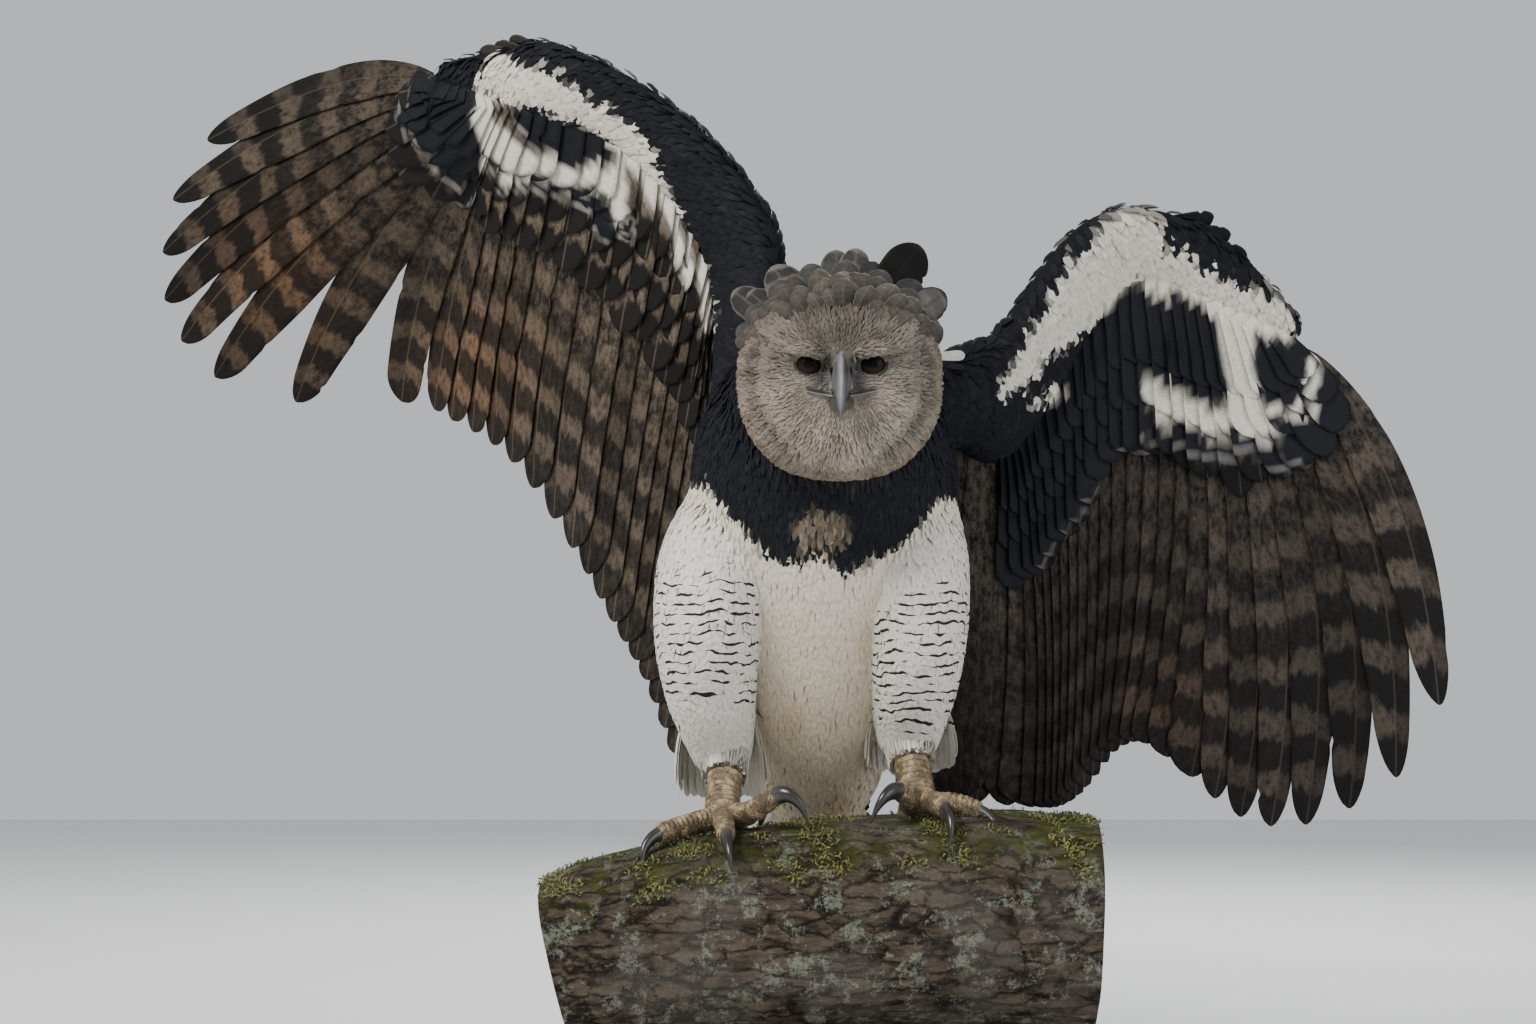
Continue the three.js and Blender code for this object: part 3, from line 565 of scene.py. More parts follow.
class Tree:
    """A material's nodes, with short calls for the kinds used here."""

    def __init__(self, name, settings):
        self.material = bpy.data.materials.new(name)
        self.material.use_nodes = True
        self.tree = self.material.node_tree
        self.shader = self.tree.nodes["Principled BSDF"]
        for key, value in settings.items():
            self.shader.inputs[key].default_value = value

    def add(self, kind, inputs, output=0, **settings):
        node = self.tree.nodes.new("ShaderNode" + kind)
        for key, value in settings.items():
            setattr(node, key, value)
        for key, value in inputs.items():
            if isinstance(value, Value):
                self.tree.links.new(value.socket, node.inputs[key])
            else:
                node.inputs[key].default_value = value
        return Value(self, node.outputs[output])

    def attribute(self, name, output="Color"):
        return self.add("Attribute", {}, output, attribute_name=name)

    def math(self, operation, *values):
        return self.add("Math", dict(enumerate(values)), operation=operation)

    def fraction(self, value):
        return self.math("FRACT", value)

    def distance(self, a, b):
        return self.math("SQRT", a * a + b * b)

    def scaled(self, vector, by):
        return self.add("VectorMath", {0: vector, 1: by}, operation="MULTIPLY")

    def moved(self, vector, by):
        return self.add("VectorMath", {0: vector, 1: by}, operation="ADD")

    def joined(self, x, y, z):
        return self.add("CombineXYZ", {0: x, 1: y, 2: z})

    def split(self, vector):
        node = self.add("SeparateXYZ", {0: vector}).socket.node
        return [Value(self, output) for output in node.outputs]

    def ramp(self, value, low, high):
        inputs = {"Value": value, "From Min": low, "From Max": high}
        return self.add("MapRange", inputs, interpolation_type="SMOOTHSTEP")

    def mix(self, amount, a, b, blend="MIX"):
        return self.add("Mix", {0: amount, 6: a, 7: b}, 2, data_type="RGBA", blend_type=blend)

    def shaded(self, colour, amount, low, high):
        """The colour, multiplied by `low` to `high`."""
        return self.mix(1.0, colour, self.mix(amount, grey(low), grey(high)), "MULTIPLY")

    def noise(self, vector, scale, detail=3.0, rough=0.55):
        inputs = {"Vector": vector, "Scale": scale, "Detail": detail, "Roughness": rough}
        return self.add("TexNoise", inputs, "Fac")

    def barbs(self, fine, along, rough=0.6):
        """Noise drawn out along a feather's barbs, other for each feather."""
        return self.noise(self.scaled(self.attribute("vane", "Vector"), (fine, along, 37.0)), 1.0, 3.0, rough)

    def cells(self, vector, scale, feature="F1"):
        return self.add("TexVoronoi", {"Vector": vector, "Scale": scale}, "Distance", feature=feature)

    def place(self):
        return self.add("TexCoord", {}, "Object")

    def finish(self, colour, height=None, distance=0.001, strength=1.0):
        self.tree.links.new(colour.socket, self.shader.inputs["Base Color"])
        if height is not None:
            bump = self.add("Bump", {"Height": height, "Distance": distance, "Strength": strength})
            self.tree.links.new(bump.socket, self.shader.inputs["Normal"])
        return self.material


def grey(value):
    return (value, value, value, 1)


def feather_material(name, streak=0.22, sheen=0.0, roughness=0.75):
    """Body feathers: each one's tint, with streaks along its barbs."""
    t = Tree(name, {"Roughness": roughness, "Sheen Weight": sheen, "Sheen Roughness": 0.5,
                    "Specular IOR Level": 0.1})
    barbs = t.barbs(1.3, 0.1)
    colour = t.shaded(t.attribute("tint"), t.ramp(barbs, 0.25, 0.75), 1 - streak, 1 + 0.6 * streak)
    return t.finish(colour, barbs, 0.0004, 0.5)


BAR_SPACING = 0.0092  # from one bar of a thigh to the next, in metres


def barred_material(name):
    """Thigh feathers: white, with thin wavy broken black bars across the leg."""
    t = Tree(name, {"Roughness": 0.75, "Specular IOR Level": 0.2})
    place = t.place()
    x, y, z = t.split(place)
    wave = (t.noise(t.joined(x, y, z * 0.3), 34.0, 2.0) - 0.5) * 0.018
    phase = (z + wave) * (1 / BAR_SPACING)
    line = abs(t.fraction(phase) - 0.5)
    row = t.math("FLOOR", phase) * 0.37
    # The bars start and end at a ragged height, which isn't the same on both legs
    sided = z + t.math("MINIMUM", 0.013, t.math("MAXIMUM", -0.013, x))
    ragged = sided + (t.noise(place, 24.0, 3.0) - 0.5) * 0.07
    legs = t.ramp(ragged, 0.355, 0.385) * t.ramp(ragged, 0.505, 0.480)
    broken = t.noise(t.joined(x, y, row), 62.0, 1.0) * (0.55 + legs * 0.45)
    thin = t.ramp(broken, 0.38, 0.60) * 0.15
    bars = (1.0 - t.ramp(line, thin * 0.7, thin + 0.03)) * t.ramp(broken, 0.38, 0.44)
    barbs = t.barbs(0.9, 0.1)
    colour = t.shaded(t.attribute("tint"), t.ramp(barbs, 0.25, 0.75), 0.8, 1.08)
    colour = t.mix(bars * t.ramp(legs, 0.0, 0.3), colour, (0.018, 0.017, 0.019, 1))
    return t.finish(colour, barbs, 0.0003, 0.5)


def flight_material(name, pale, dark, tip_band):
    """Wing and tail feathers: barred by the distance from the tip, with a paler marbled inner part.
    Where `plain` is 1, the feather's own tint takes the bars' place; elsewhere the tint multiplies them."""
    t = Tree(name, {"Roughness": 0.65, "Specular IOR Level": 0.12})
    vane = t.attribute("vane", "Vector")
    tint = t.attribute("tint")
    soft = t.attribute("soft", "Fac")
    across, from_tip, chance = t.split(vane)
    back, bar, share = t.split(t.attribute("mark", "Vector"))
    wobble = t.noise(t.scaled(vane, (0.07, 0.014, 9.0)), 1.0, 3.0, 0.7) - 0.5
    outer = t.ramp(across, -1.0, 1.0)
    run = from_tip + wobble * 38.0 + abs(across) * 0.25 + outer * 5.0
    phase = t.fraction((run - tip_band) / bar)
    band = t.ramp(phase, 0.0, 0.14) * t.ramp(phase, 0.58, 0.42) * t.ramp(run, tip_band - 2, tip_band + 2)
    marble = t.noise(t.scaled(vane, (0.16, 0.08, 5.0)), 1.0, 5.0, 0.75)
    light = t.mix(t.ramp(marble, 0.25, 0.7), [0.35 * c for c in pale[:3]] + [1], pale)
    weight = t.mix(outer, grey(0.95), grey(0.55)) * t.ramp(marble, 0.2, 0.5) * (1.0 - soft)
    under = t.mix(band * weight, dark, light)
    wash = t.ramp(share, 0.75, 0.3) * 0.6 + soft * 0.6
    under = t.mix(wash * t.ramp(marble, 0.35, 0.62), under, light)
    over = t.mix(band * 0.5, (0.010, 0.010, 0.011, 1), (0.05, 0.045, 0.04, 1))
    shaft = 1.0 - t.ramp(abs(across), 0.5, 1.3)
    colour = t.mix(shaft * 0.5, t.mix(back, under, over), (0.15, 0.125, 0.10, 1))
    colour = t.mix(1.0, t.shaded(colour, chance, 0.7, 1.2), tint, "MULTIPLY")
    colour = t.mix(t.attribute("plain", "Fac"), colour, tint)
    barbs = t.barbs(0.22, 0.9, 0.65)
    return t.finish(t.shaded(colour, t.ramp(barbs, 0.3, 0.7), 0.78, 1.15), barbs, 0.0005, 0.7)


# Head

def head_relief(x, z):
    out = np.abs(x)
    eye = EYE["apart"] / 2
    socket = -12 * bell(out - eye, 12) * bell(z - EYE["above"], 9)
    brow = 6.5 * bell(out - 30, 15) * bell(z - 17 - 0.15 * (out - 30), 4.5)
    lore = -4 * bell(out - 16, 5) * bell(z, 11)
    cheek = 4 * bell(out - 50, 18) * bell(z + 33, 20)
    radius, ruff = np.hypot(x, z + 5), smooth(40, 15, z) * smooth(25, 45, out)
    groove = (3 * bell(radius - 85, 5) - 5 * bell(radius - 77, 4)) * ruff
    return socket + brow + lore + cheek + groove


def head_surface(way, grow=0.0):
    """The head's surface in the directions `way` from its middle."""
    high = np.where(way[..., 2] > 0, HEAD_REACH["up"], HEAD_REACH["down"])
    long = np.where(way[..., 1] < 0, HEAD_REACH["front"], HEAD_REACH["back"])
    power = 2.3
    terms = np.abs(way[..., 0] / HEAD_REACH["side"]) ** power + np.abs(way[..., 2] / high) ** power
    reach = (terms + np.abs(way[..., 1] / long) ** power) ** (-1 / power)
    face = np.where(way[..., 1] < 0, head_relief(way[..., 0] * reach, way[..., 2] * reach), 0)
    return HEAD_AT + way * (reach + face + grow)[..., None]


def head_solid(rows, cols, grow):
    def place(u, v):
        a, b = np.pi * u * (0.6 + 0.4 * u), 2 * np.pi * v
        way = np.stack([np.sin(a) * np.cos(b), -np.cos(a), np.sin(a) * np.sin(b)], axis=-1)
        return head_surface(way, grow)

    return closed_points(rows, cols, place), closed_faces(rows, cols)


def head_ratio(p):
    way = p - HEAD_AT
    return np.linalg.norm(way, axis=-1) / np.linalg.norm(head_surface(unit(way)) - HEAD_AT, axis=-1)


# Skin: one surface for all the flesh, inside the coat

DEPTH = {"torso": 5, "neck": 7, "head": 3.5, "thigh": 4, "arm": 4, "tail": 4}  # of the coat
limbs = {"torso": Limb(TORSO), "neck": Limb(NECK)}
for side in SIDES:
    limbs["thigh_" + side] = Limb(THIGHS[side])
wings = {side: Wing(**WINGS[side]) for side in SIDES}
EYE_MIDDLE = {}
for side, sign in SIDES.items():
    EYE_MIDDLE[side] = HEAD_AT + np.array([sign * EYE["apart"] / 2, -EYE["forward"], EYE["above"]])
TAIL_ALONG = unit(TAIL_TIP - TAIL_ROOT)
TAIL_UP = unit(np.cross(X, TAIL_ALONG))
# The fleshy root of the tail: [t, share of TAIL_CORE along it, half width, half depth]
TAIL_CORE = 390
TAIL_KEYS = [[0, -0.1, 34, 16], [0.5, 0.08, 36, 14], [1, 0.17, 26, 8]]


def tail_core():
    keys = []
    for t, reach, wide, deep in TAIL_KEYS:
        keys.append([t, *(TAIL_ROOT + TAIL_ALONG * TAIL_CORE * reach - TAIL_UP * 4), wide, deep])
    return Limb(keys).solid(20, 24)


def evaluated(piece):
    """The piece's modifiers applied."""
    graph = bpy.context.evaluated_depsgraph_get()
    mesh = bpy.data.meshes.new_from_object(piece.evaluated_get(graph))
    piece.modifiers.clear()
    old = piece.data
    piece.data = mesh
    bpy.data.meshes.remove(old)
    mesh.polygons.foreach_set("use_smooth", np.ones(len(mesh.polygons), bool))


def remesh(piece, voxel, smoothing):
    made = piece.modifiers.new("remesh", "REMESH")
    made.mode = "VOXEL"
    made.voxel_size = voxel / 1000
    relax = piece.modifiers.new("relax", "SMOOTH")
    relax.factor = 0.5
    relax.iterations = smoothing
    evaluated(piece)


def surface_of(piece):
    """Triangle corners in millimetres and the points' normals, at each triangle's corners."""
    mesh = piece.data
    mesh.calc_loop_triangles()
    index = np.zeros(len(mesh.loop_triangles) * 3, np.int32)
    mesh.loop_triangles.foreach_get("vertices", index)
    points, normals = mesh_points(piece), mesh_values(piece, "normal")
    return points[index].reshape(-1, 3, 3), normals[index].reshape(-1, 3, 3)


TRIES = 2.2  # random places for each square of the spacing, before near ones are dropped
PRIMES = (73856093, 19349663, 83492791)  # they mix a grid cell's three numbers into one key


def scatter(surface, chosen, spacing):
    """Points about `spacing` apart on the chosen triangles, with normals."""
    corners, normals = surface[0][chosen], surface[1][chosen]
    edges = corners[:, 1:] - corners[:, :1]
    area = 0.5 * np.linalg.norm(np.cross(edges[:, 0], edges[:, 1]), axis=-1)
    count = (area * TRIES / spacing**2 + random.random(len(area))).astype(int)
    pick = np.repeat(np.arange(len(area)), count)
    a, b = random.random((2, len(pick)))
    flip = a + b > 1
    a, b = np.where(flip, 1 - a, a), np.where(flip, 1 - b, b)
    weights = np.stack([1 - a - b, a, b], axis=-1)[..., None]
    points = (corners[pick] * weights).sum(1)
    normal = unit((normals[pick] * weights).sum(1))
    x, y, z = np.floor(points / (0.95 * spacing)).astype(np.int64).T
    key = (x * PRIMES[0]) ^ (y * PRIMES[1]) ^ (z * PRIMES[2])
    first = np.unique(key, return_index=True)[1]
    return points[first], normal[first]


# Coat: small feathers over the skin

WHITE = np.array([0.74, 0.71, 0.64])
# A darker cream: partly the belly's own tint and partly painted shade
SHADED_CREAM = np.array([0.64, 0.55, 0.40])
BLACK = np.array([0.0085, 0.0090, 0.0120])
HEAD_GREY = np.array([0.165, 0.145, 0.12])
CHEEK_GREY = np.array([0.285, 0.25, 0.203])
CROWN_GREY = np.array([0.070, 0.058, 0.048])
FOREHEAD_GREY = np.array([0.090, 0.079, 0.067])
RUFF_BROWN = np.array([0.19, 0.155, 0.12])
LORE_GREY = np.array([0.06, 0.064, 0.072])
LINING = np.array([0.62, 0.59, 0.51])
REGIONS = ["torso", "neck", "thigh_right", "thigh_left", "arm_right", "arm_left", "head", "tail"]

BEIGE = np.array([0.18, 0.145, 0.105])
# The black breast's lower edge, x and z
BAND_EDGE = np.array([
    [-102, 321], [-73, 285], [-50, 258], [-32, 250], [0, 257],
    [20, 241], [40, 249], [67, 262], [85, 268], [103, 305],
], float)
BEIGE_MARK = {"z": 281, "wide": 25, "high": 19}  # an oval mark in the middle of the black breast
# Strokes [x, z, half width] that mark the wings' undersides, which are black or barred between them
LINING_WHITE = {
    "right": [
        [[-312, 736, 12], [-297, 722, 20], [-249, 699, 20], [-212, 680, 16], [-182, 662, 14], [-164, 634, 12],
         [-148, 601, 9], [-130, 565, 8], [-116, 525, 8], [-105, 483, 7]],
        [[-328, 722, 12], [-331, 694, 12], [-317, 667, 14], [-299, 648, 13], [-267, 638, 10], [-239, 629, 9],
         [-212, 631, 12], [-194, 641, 12]],
        [[-194, 634, 12], [-187, 592, 8]],
    ],
    "left": [
        [[301, 564, 32], [280, 543, 28], [252, 511, 28], [227, 483, 19], [205, 461, 14], [177, 424, 11]],
        [[317, 549, 19], [348, 540, 21], [382, 521, 21], [416, 505, 24], [447, 501, 18], [466, 480, 8]],
        [[416, 483, 18], [419, 451, 14], [426, 414, 16], [429, 390, 18]],
        [[329, 427, 11], [342, 408, 14], [367, 401, 13], [398, 392, 12], [429, 395, 14]],
        [[444, 408, 4], [481, 405, 4], [491, 427, 4], [491, 451, 4]],
        [[453, 383, 8], [453, 382, 8]],
        [[208, 411, 4], [233, 421, 4]],
    ],
}
LINING_BLACK = {
    "right": [
        [[-353, 722, 23], [-346, 680, 16], [-331, 657, 14], [-308, 643, 10], [-265, 624, 9], [-230, 614, 12],
         [-198, 588, 12], [-183, 583, 8]],
        [[-285, 688, 14], [-236, 657, 21], [-202, 654, 10]],
        [[-384, 748, 24], [-380, 700, 34], [-356, 660, 26]],
    ],
    "left": [
        [[190, 440, 60], [300, 470, 60], [400, 440, 60], [480, 420, 50], [505, 400, 40]],
        [[150, 380, 70], [205, 330, 50], [180, 270, 50], [150, 210, 50]],
        [[280, 400, 40], [240, 330, 30]],
        [[300, 385, 14], [360, 378, 16], [430, 372, 16], [480, 366, 18]],
    ],
}


def strokes(x, z, lines):
    """How deep inside any of the strokes each place is, in mm; less than 0 outside."""
    inside = np.full(np.shape(x), -1e3)
    for line in lines:
        for (ax, az, aw), (bx, bz, bw) in zip(line, line[1:]):
            dx, dz = bx - ax, bz - az
            s = np.clip(((x - ax) * dx + (z - az) * dz) / (dx * dx + dz * dz), 0, 1)
            inside = np.maximum(inside, lerp(aw, bw, s) - np.hypot(x - ax - dx * s, z - az - dz * s))
    return inside


def ratios(p):
    """Each region's nearness: the distance from its middle in radii, with its own coordinates."""
    found = {name: limb.near(p) for name, limb in limbs.items()}
    for side, wing in wings.items():
        t, inward, high, ratio = wing.near_arm(p)
        found["arm_" + side] = (t / STATIONS, np.arctan2(high, 2 * inward - 1), ratio)
    way = unit(p - HEAD_AT)
    angle = np.arctan2(way[:, 0], way[:, 2])
    found["head"] = (np.arccos(np.clip(-way[:, 1], -1, 1)) / np.pi, angle, head_ratio(p))
    t = ((p - TAIL_ROOT) @ TAIL_ALONG) / TAIL_CORE
    off = p - TAIL_ROOT - TAIL_ALONG * (TAIL_CORE * t)[:, None]
    ratio = np.hypot(off[:, 0] / 36, np.linalg.norm(off[:, 1:], axis=1) / 14) + np.maximum(0, -t) * 12
    found["tail"] = (np.clip(t + 0.15, 0, 1), np.arctan2(off[:, 2], off[:, 0]), ratio)
    return found


PARTING = np.array([15, -215, 402])  # the face's feathers lie away from this place above the bill


def arm_lie(wing, t):
    edge = wing.edges(STATIONS * t)
    ahead = wing.edges(np.minimum(STATIONS, STATIONS * t + 0.2))
    outward = unit(ahead[:, :3] - edge[:, :3] + 1e-6)
    return unit(edge[:, 3:6] - edge[:, :3]) + 0.35 * outward


def lies(p, found, weights):
    """Which way the feathers lie at each point."""
    total = np.zeros_like(p)
    for k, name in enumerate(REGIONS):
        t = found[name][0]
        if name == "head":
            way = unit(p - PARTING) + 0.35 * Y
        elif name == "tail":
            way = np.tile(TAIL_ALONG, (len(p), 1))
        elif name.startswith("arm"):
            way = arm_lie(wings[name[4:]], t)
        elif name == "neck":
            way = np.tile(0.45 * Y - Z, (len(p), 1))
        elif name == "torso":
            way = -limbs[name].frame(t)[1]
        else:
            way = limbs[name].frame(t)[1] + 0.1 * Y
        total += weights[:, k : k + 1] * unit(way)
    return total


# A tuft is a small closed feather. Its points: the root, three rings of left, top, right and under, the tip
TUFT_STATIONS = np.array([0.35, 0.75, 0.93])
TUFT_WIDTHS = np.array([1.0, 0.92, 0.55])
TUFT_POINTS = 14
TUFT_CUP = 0.05


def tuft_faces():
    """A tuft's triangles and quads, and which of its edges are sharp."""
    tip = TUFT_POINTS - 1
    triangles, quads = [], []
    for j in range(4):
        a, b = 1 + j, 1 + (j + 1) % 4
        triangles += [[0, b, a], [tip, 8 + a, 8 + b]]
        quads += [[a, b, 4 + b, 4 + a], [4 + a, 4 + b, 8 + b, 8 + a]]
    rim = np.zeros((TUFT_POINTS, TUFT_POINTS), bool)
    for left in (1, 3):
        chain = [0, left, left + 4, left + 8, tip]
        for a, b in zip(chain, chain[1:]):
            rim[a, b] = rim[b, a] = True
    return np.array(triangles), np.array(quads), rim


def settle(tree, points, depth):
    """The points and normals on a surface's tree nearest to `points`, raised by `depth`."""
    spots, normals = np.zeros_like(points), np.zeros_like(points)
    for k, spot in enumerate(metres(points)):
        found, normal = tree.find_nearest(spot)[:2]
        spots[k], normals[k] = found, normal
    return spots * 1000 - ORIGIN + normals * depth[:, None], normals


def tufts(name, material, roots, normals, lie, long, half, depth, tint, places, tree=None, tips=None):
    """One small feather at each root, rising to `depth` over the skin and following its lie.
    Its tip lies on the surface of `tree`, where there is one, or at `tips`."""
    along = unit(lie - normals * (lie * normals).sum(1, keepdims=True))
    if tips is not None:
        ends, end_normals = tips, normals
        along = unit(tips - roots)
    elif tree is not None:
        ends, end_normals = settle(tree, roots + along * long[:, None], depth)
    else:
        ends, end_normals = roots + along * long[:, None] + normals * depth[:, None], normals
    side = unit(np.cross(along, normals))
    middle = roots + 0.45 * (ends - roots) + normals * depth[:, None]
    stations = np.concatenate([[0.0], np.repeat(TUFT_STATIONS, 4), [1.0]])
    widths = np.concatenate([[0.0], np.repeat(TUFT_WIDTHS, 4), [0.0]])
    lateral = np.concatenate([[0.0], np.tile([-1.0, 0, 1.0, 0], 3), [0.0]])
    lift = np.concatenate([[0.0], np.tile([0, 1.0, 0, -1.0], 3), [0.0]])
    s = stations[None, :, None]
    line = (roots - normals)[:, None] * (1 - s) ** 2 + middle[:, None] * (2 * s * (1 - s))
    line = line + ends[:, None] * s**2
    across = half[:, None] * (widths * lateral)[None]
    thick = 0.04 * half[:, None] * lift[None] + 0.12 * lift - TUFT_CUP * np.abs(across)
    points = line + side[:, None] * across[..., None]
    points = points + lerp(normals[:, None], end_normals[:, None], s) * thick[..., None]
    triangles, quads, rim = tuft_faces()
    offset = (np.arange(len(roots)) * TUFT_POINTS)[:, None, None]
    faces = [(triangles[None] + offset).reshape(-1, 3), (quads[None] + offset).reshape(-1, 4)]
    piece = mesh_object(name, points.reshape(-1, 3), faces, material, rim, TUFT_POINTS)
    # Each tuft is painted darker towards its root: painted shade where the tufts above cover it
    tone = 0.9 + 0.1 * smooth(0.2, 0.8, stations)
    paint(piece, "tint", tint[:, None] * tone[None, :, None])
    paint(piece, "vane", stacked(across, long[:, None] * stations[None], random.random((len(roots), 1))))
    spot = places[:, None] + 0.0015 * np.stack([lateral * widths, 2 * stations - 1], axis=-1)[None]
    unwrap(piece, spot.reshape(-1, 2))
    return piece


def cell(region, t, angle):
    """A place on the bake map: one strip for each region."""
    k = REGIONS.index(region)
    u = (k + 0.04 + 0.92 * ((angle / (2 * np.pi)) % 1)) / len(REGIONS)
    return stacked(u, 0.02 + 0.96 * np.clip(t, 0, 1))


# Feathers with fine grids

ACROSS = np.array([-1, -0.82, -0.6, -0.35, -0.14, -0.04, 0.04, 0.14, 0.35, 0.6, 0.82, 1])
ACROSS_SMALL = np.array([-1, -0.7, -0.35, -0.05, 0.05, 0.35, 0.7, 1])


class Sheets:
    """Thin closed feathers on one kind of grid, gathered into one object."""

    def __init__(self, rows, columns, thick=0.35):
        self.rows, self.columns, self.thick = rows, columns, thick
        self.points, self.spots = [], []
        self.layers = {"tint": [], "vane": [], "mark": [], "plain": [], "soft": []}

    def add(self, place, long, halves, shape, tint=(1, 1, 1), bar=40.0, ragged=0.3, camber=0.06, reach=1.0,
            soft=0.0):
        """place(s, offset) gives points and the back's direction at a share s of the length and an offset.
        `long` is the length, `halves` the leading and trailing vane's width and `shape` the width's curve.
        `tint` is a colour that multiplies the bars. As a function of the points, s and the column, it gives
        a colour and how far that covers the bars."""
        lead, trail = halves
        u = np.linspace(0, 1, self.rows + 1)[:, None]
        s, x = np.broadcast_arrays(1 - (1 - u) ** 1.3, self.columns[None, :])
        blunt = min(0.4, 1.1 * max(halves) / long)
        rounded = np.sqrt(np.clip(1 - np.clip((s - 1 + blunt) / blunt, 0, 0.995) ** 2, 0, 1))
        widths = np.where(x > 0, lead, trail) * shape(s)[..., 0] * rounded * notches(s, x, ragged)
        offset = x * widths
        points, back = place(reach * s, offset)
        ridge = (0.9 - 0.7 * s) * np.exp(-((offset / 1.3) ** 2))
        thick = self.thick * (1 - 0.6 * np.abs(x)) + ridge
        bent = -camber * offset**2 / max(halves)
        chance = random.random()
        colour, plain = tint(points, s, x) if callable(tint) else (tint, 0.0)
        for sign in (1, -1):
            self.points.append((points + back * (bent + sign * thick)[..., None]).reshape(-1, 3))
            self.spots.append(stacked(0.5 + 0.4 * x, s).reshape(-1, 2))
            layers = {
                "tint": np.broadcast_to(colour, points.shape),
                "vane": stacked(offset, long * (1 - s), chance),
                "mark": stacked((1 + sign) / 2, bar, s),
                "plain": np.broadcast_to(plain, s.shape),
                "soft": np.full(s.shape, soft),
            }
            for name, values in layers.items():
                self.layers[name].append(values.ravel())

    def build(self, name, material):
        r, c = self.rows + 1, len(self.columns)
        grid = np.arange(r * c).reshape(r, c)
        top = np.stack([grid[:-1, :-1], grid[:-1, 1:], grid[1:, 1:], grid[1:, :-1]], axis=-1).reshape(-1, 4)
        under = top[:, ::-1] + r * c
        ring = np.concatenate([grid[0], grid[1:, -1], grid[-1, -2::-1], grid[-2:0:-1, 0]])
        after = np.roll(ring, -1)
        rim = np.stack([after, ring, ring + r * c, after + r * c], axis=-1)
        one = np.concatenate([top, under, rim])
        count = len(self.points) // 2
        faces = (one[None] + (np.arange(count) * 2 * r * c)[:, None, None]).reshape(-1, 4)
        piece = mesh_object(name, np.concatenate(self.points), [faces], material)
        for layer, values in self.layers.items():
            paint(piece, layer, np.concatenate(values))
        wide = math.ceil(math.sqrt(2 * count))
        places = []
        for k, spot in enumerate(self.spots):
            places.append((spot * 0.96 + 0.02 + np.array([k % wide, k // wide])) / wide)
        unwrap(piece, np.concatenate(places))
        return piece


def notches(s, x, ragged):
    """Small gaps along a vane's two edges, where its barbs part."""
    width = np.ones(s.shape)
    for side in (-1, 1):
        for _ in range(3):
            at = random.uniform(0.3, 0.98)
            deep = ragged * random.uniform(0.3, 1)
            wide = random.uniform(0.006, 0.016)
            gap = deep * np.exp(-(((s - at) / wide) ** 2)) * np.abs(x) ** 3
            width -= np.where(np.sign(x) == side, gap, 0)
    return width


# A feather's width along its length
flight_width = curve([[0, 0.5], [0.45, 1], [0.88, 0.95], [1, 0.9]])
finger_width = curve([[0, 0.5], [0.4, 1], [0.68, 1], [0.86, 0.78], [1, 0.55]])
covert_width = curve([[0, 0.6], [0.7, 1], [1, 0.95]])
tail_width = curve([[0, 0.45], [0.4, 0.85], [0.93, 1], [1, 1]])
crest_width = curve([[0, 0.5], [0.55, 1], [0.86, 0.98], [1, 0.9]])
SHINGLE = 2.6  # how far a feather's leading vane stands over the next one's trailing vane


def wing_feather(wing, f, lift=0.0, share=1.0):
    """Where a feather of the wing lies: a place function for Sheets, and its length."""
    ends = wing.shaft(np.full(2, f), np.array([0.0, 1.0]))
    long = np.linalg.norm(ends[1] - ends[0])

    def place(s, offset):
        base = np.full(s.shape, float(f))
        gap = wing.next(base, s)
        slant = (gap * wing.along(base, s)).sum(-1)
        room = np.sqrt((gap**2).sum(-1) - slant**2)
        offset = np.minimum(offset, 0.62 * room * share + 3)
        offset = np.maximum(offset, -1.15 * room * share - 4)
        passed = offset / room
        g, t = base + passed, s - passed * slant / long
        back = wing.back(g, t)
        rise = lift * np.minimum(1, 0.6 + 3 * s) + SHINGLE * passed / share
        return wing.shaft(g, t) + back * rise[..., None], back

    return place, long


def straight(root, tip, across, back, rise):
    """A place function for Sheets: a feather from root to tip, with `rise` of s and offset along its back."""
    def place(s, offset):
        points = root + (tip - root) * s[..., None] + across * offset[..., None]
        return points + back * rise(s, offset)[..., None], np.broadcast_to(back, points.shape)

    return place


# Skin

body_feathers = feather_material("body_feathers")
barred = barred_material("barred_feathers")
# The flesh from the breast to the left wing's arm: [t, x, y, z, half width, half depth]
SHOULDER = [[0, 40, 0, 362, 44, 34], [0.5, 92, 16, 390, 58, 36], [1, 150, 28, 416, 58, 32]]


def make_skin():
    parts = [limbs["torso"].solid(64, 72, -DEPTH["torso"]), limbs["neck"].solid(20, 64, -DEPTH["neck"])]
    parts += [head_solid(120, 140, -DEPTH["head"]), tail_core()]
    for side in SIDES:
        parts.append(limbs["thigh_" + side].solid(40, 48, -DEPTH["thigh"]))
        parts.append(wings[side].arm(60, 32, -DEPTH["arm"]))
    parts.append(Limb(SHOULDER, (0, 0.78, -0.62)).solid(20, 48, -DEPTH["arm"]))
    piece = mesh_object("skin", *merged(parts), body_feathers)
    remesh(piece, 3.8, 3)
    return piece


def sharpen_face(piece):
    """Moves the points of the face, which the remeshing has smoothed, onto the head's own surface."""
    points = mesh_points(piece)
    way = unit(points - HEAD_AT)
    target = head_surface(way, -DEPTH["head"])
    near = (np.linalg.norm(points - target, axis=1) < 9) & (way[:, 1] < -0.25)
    move_points(piece, np.where(near[:, None], target, points))


skin = make_skin()
sharpen_face(skin)


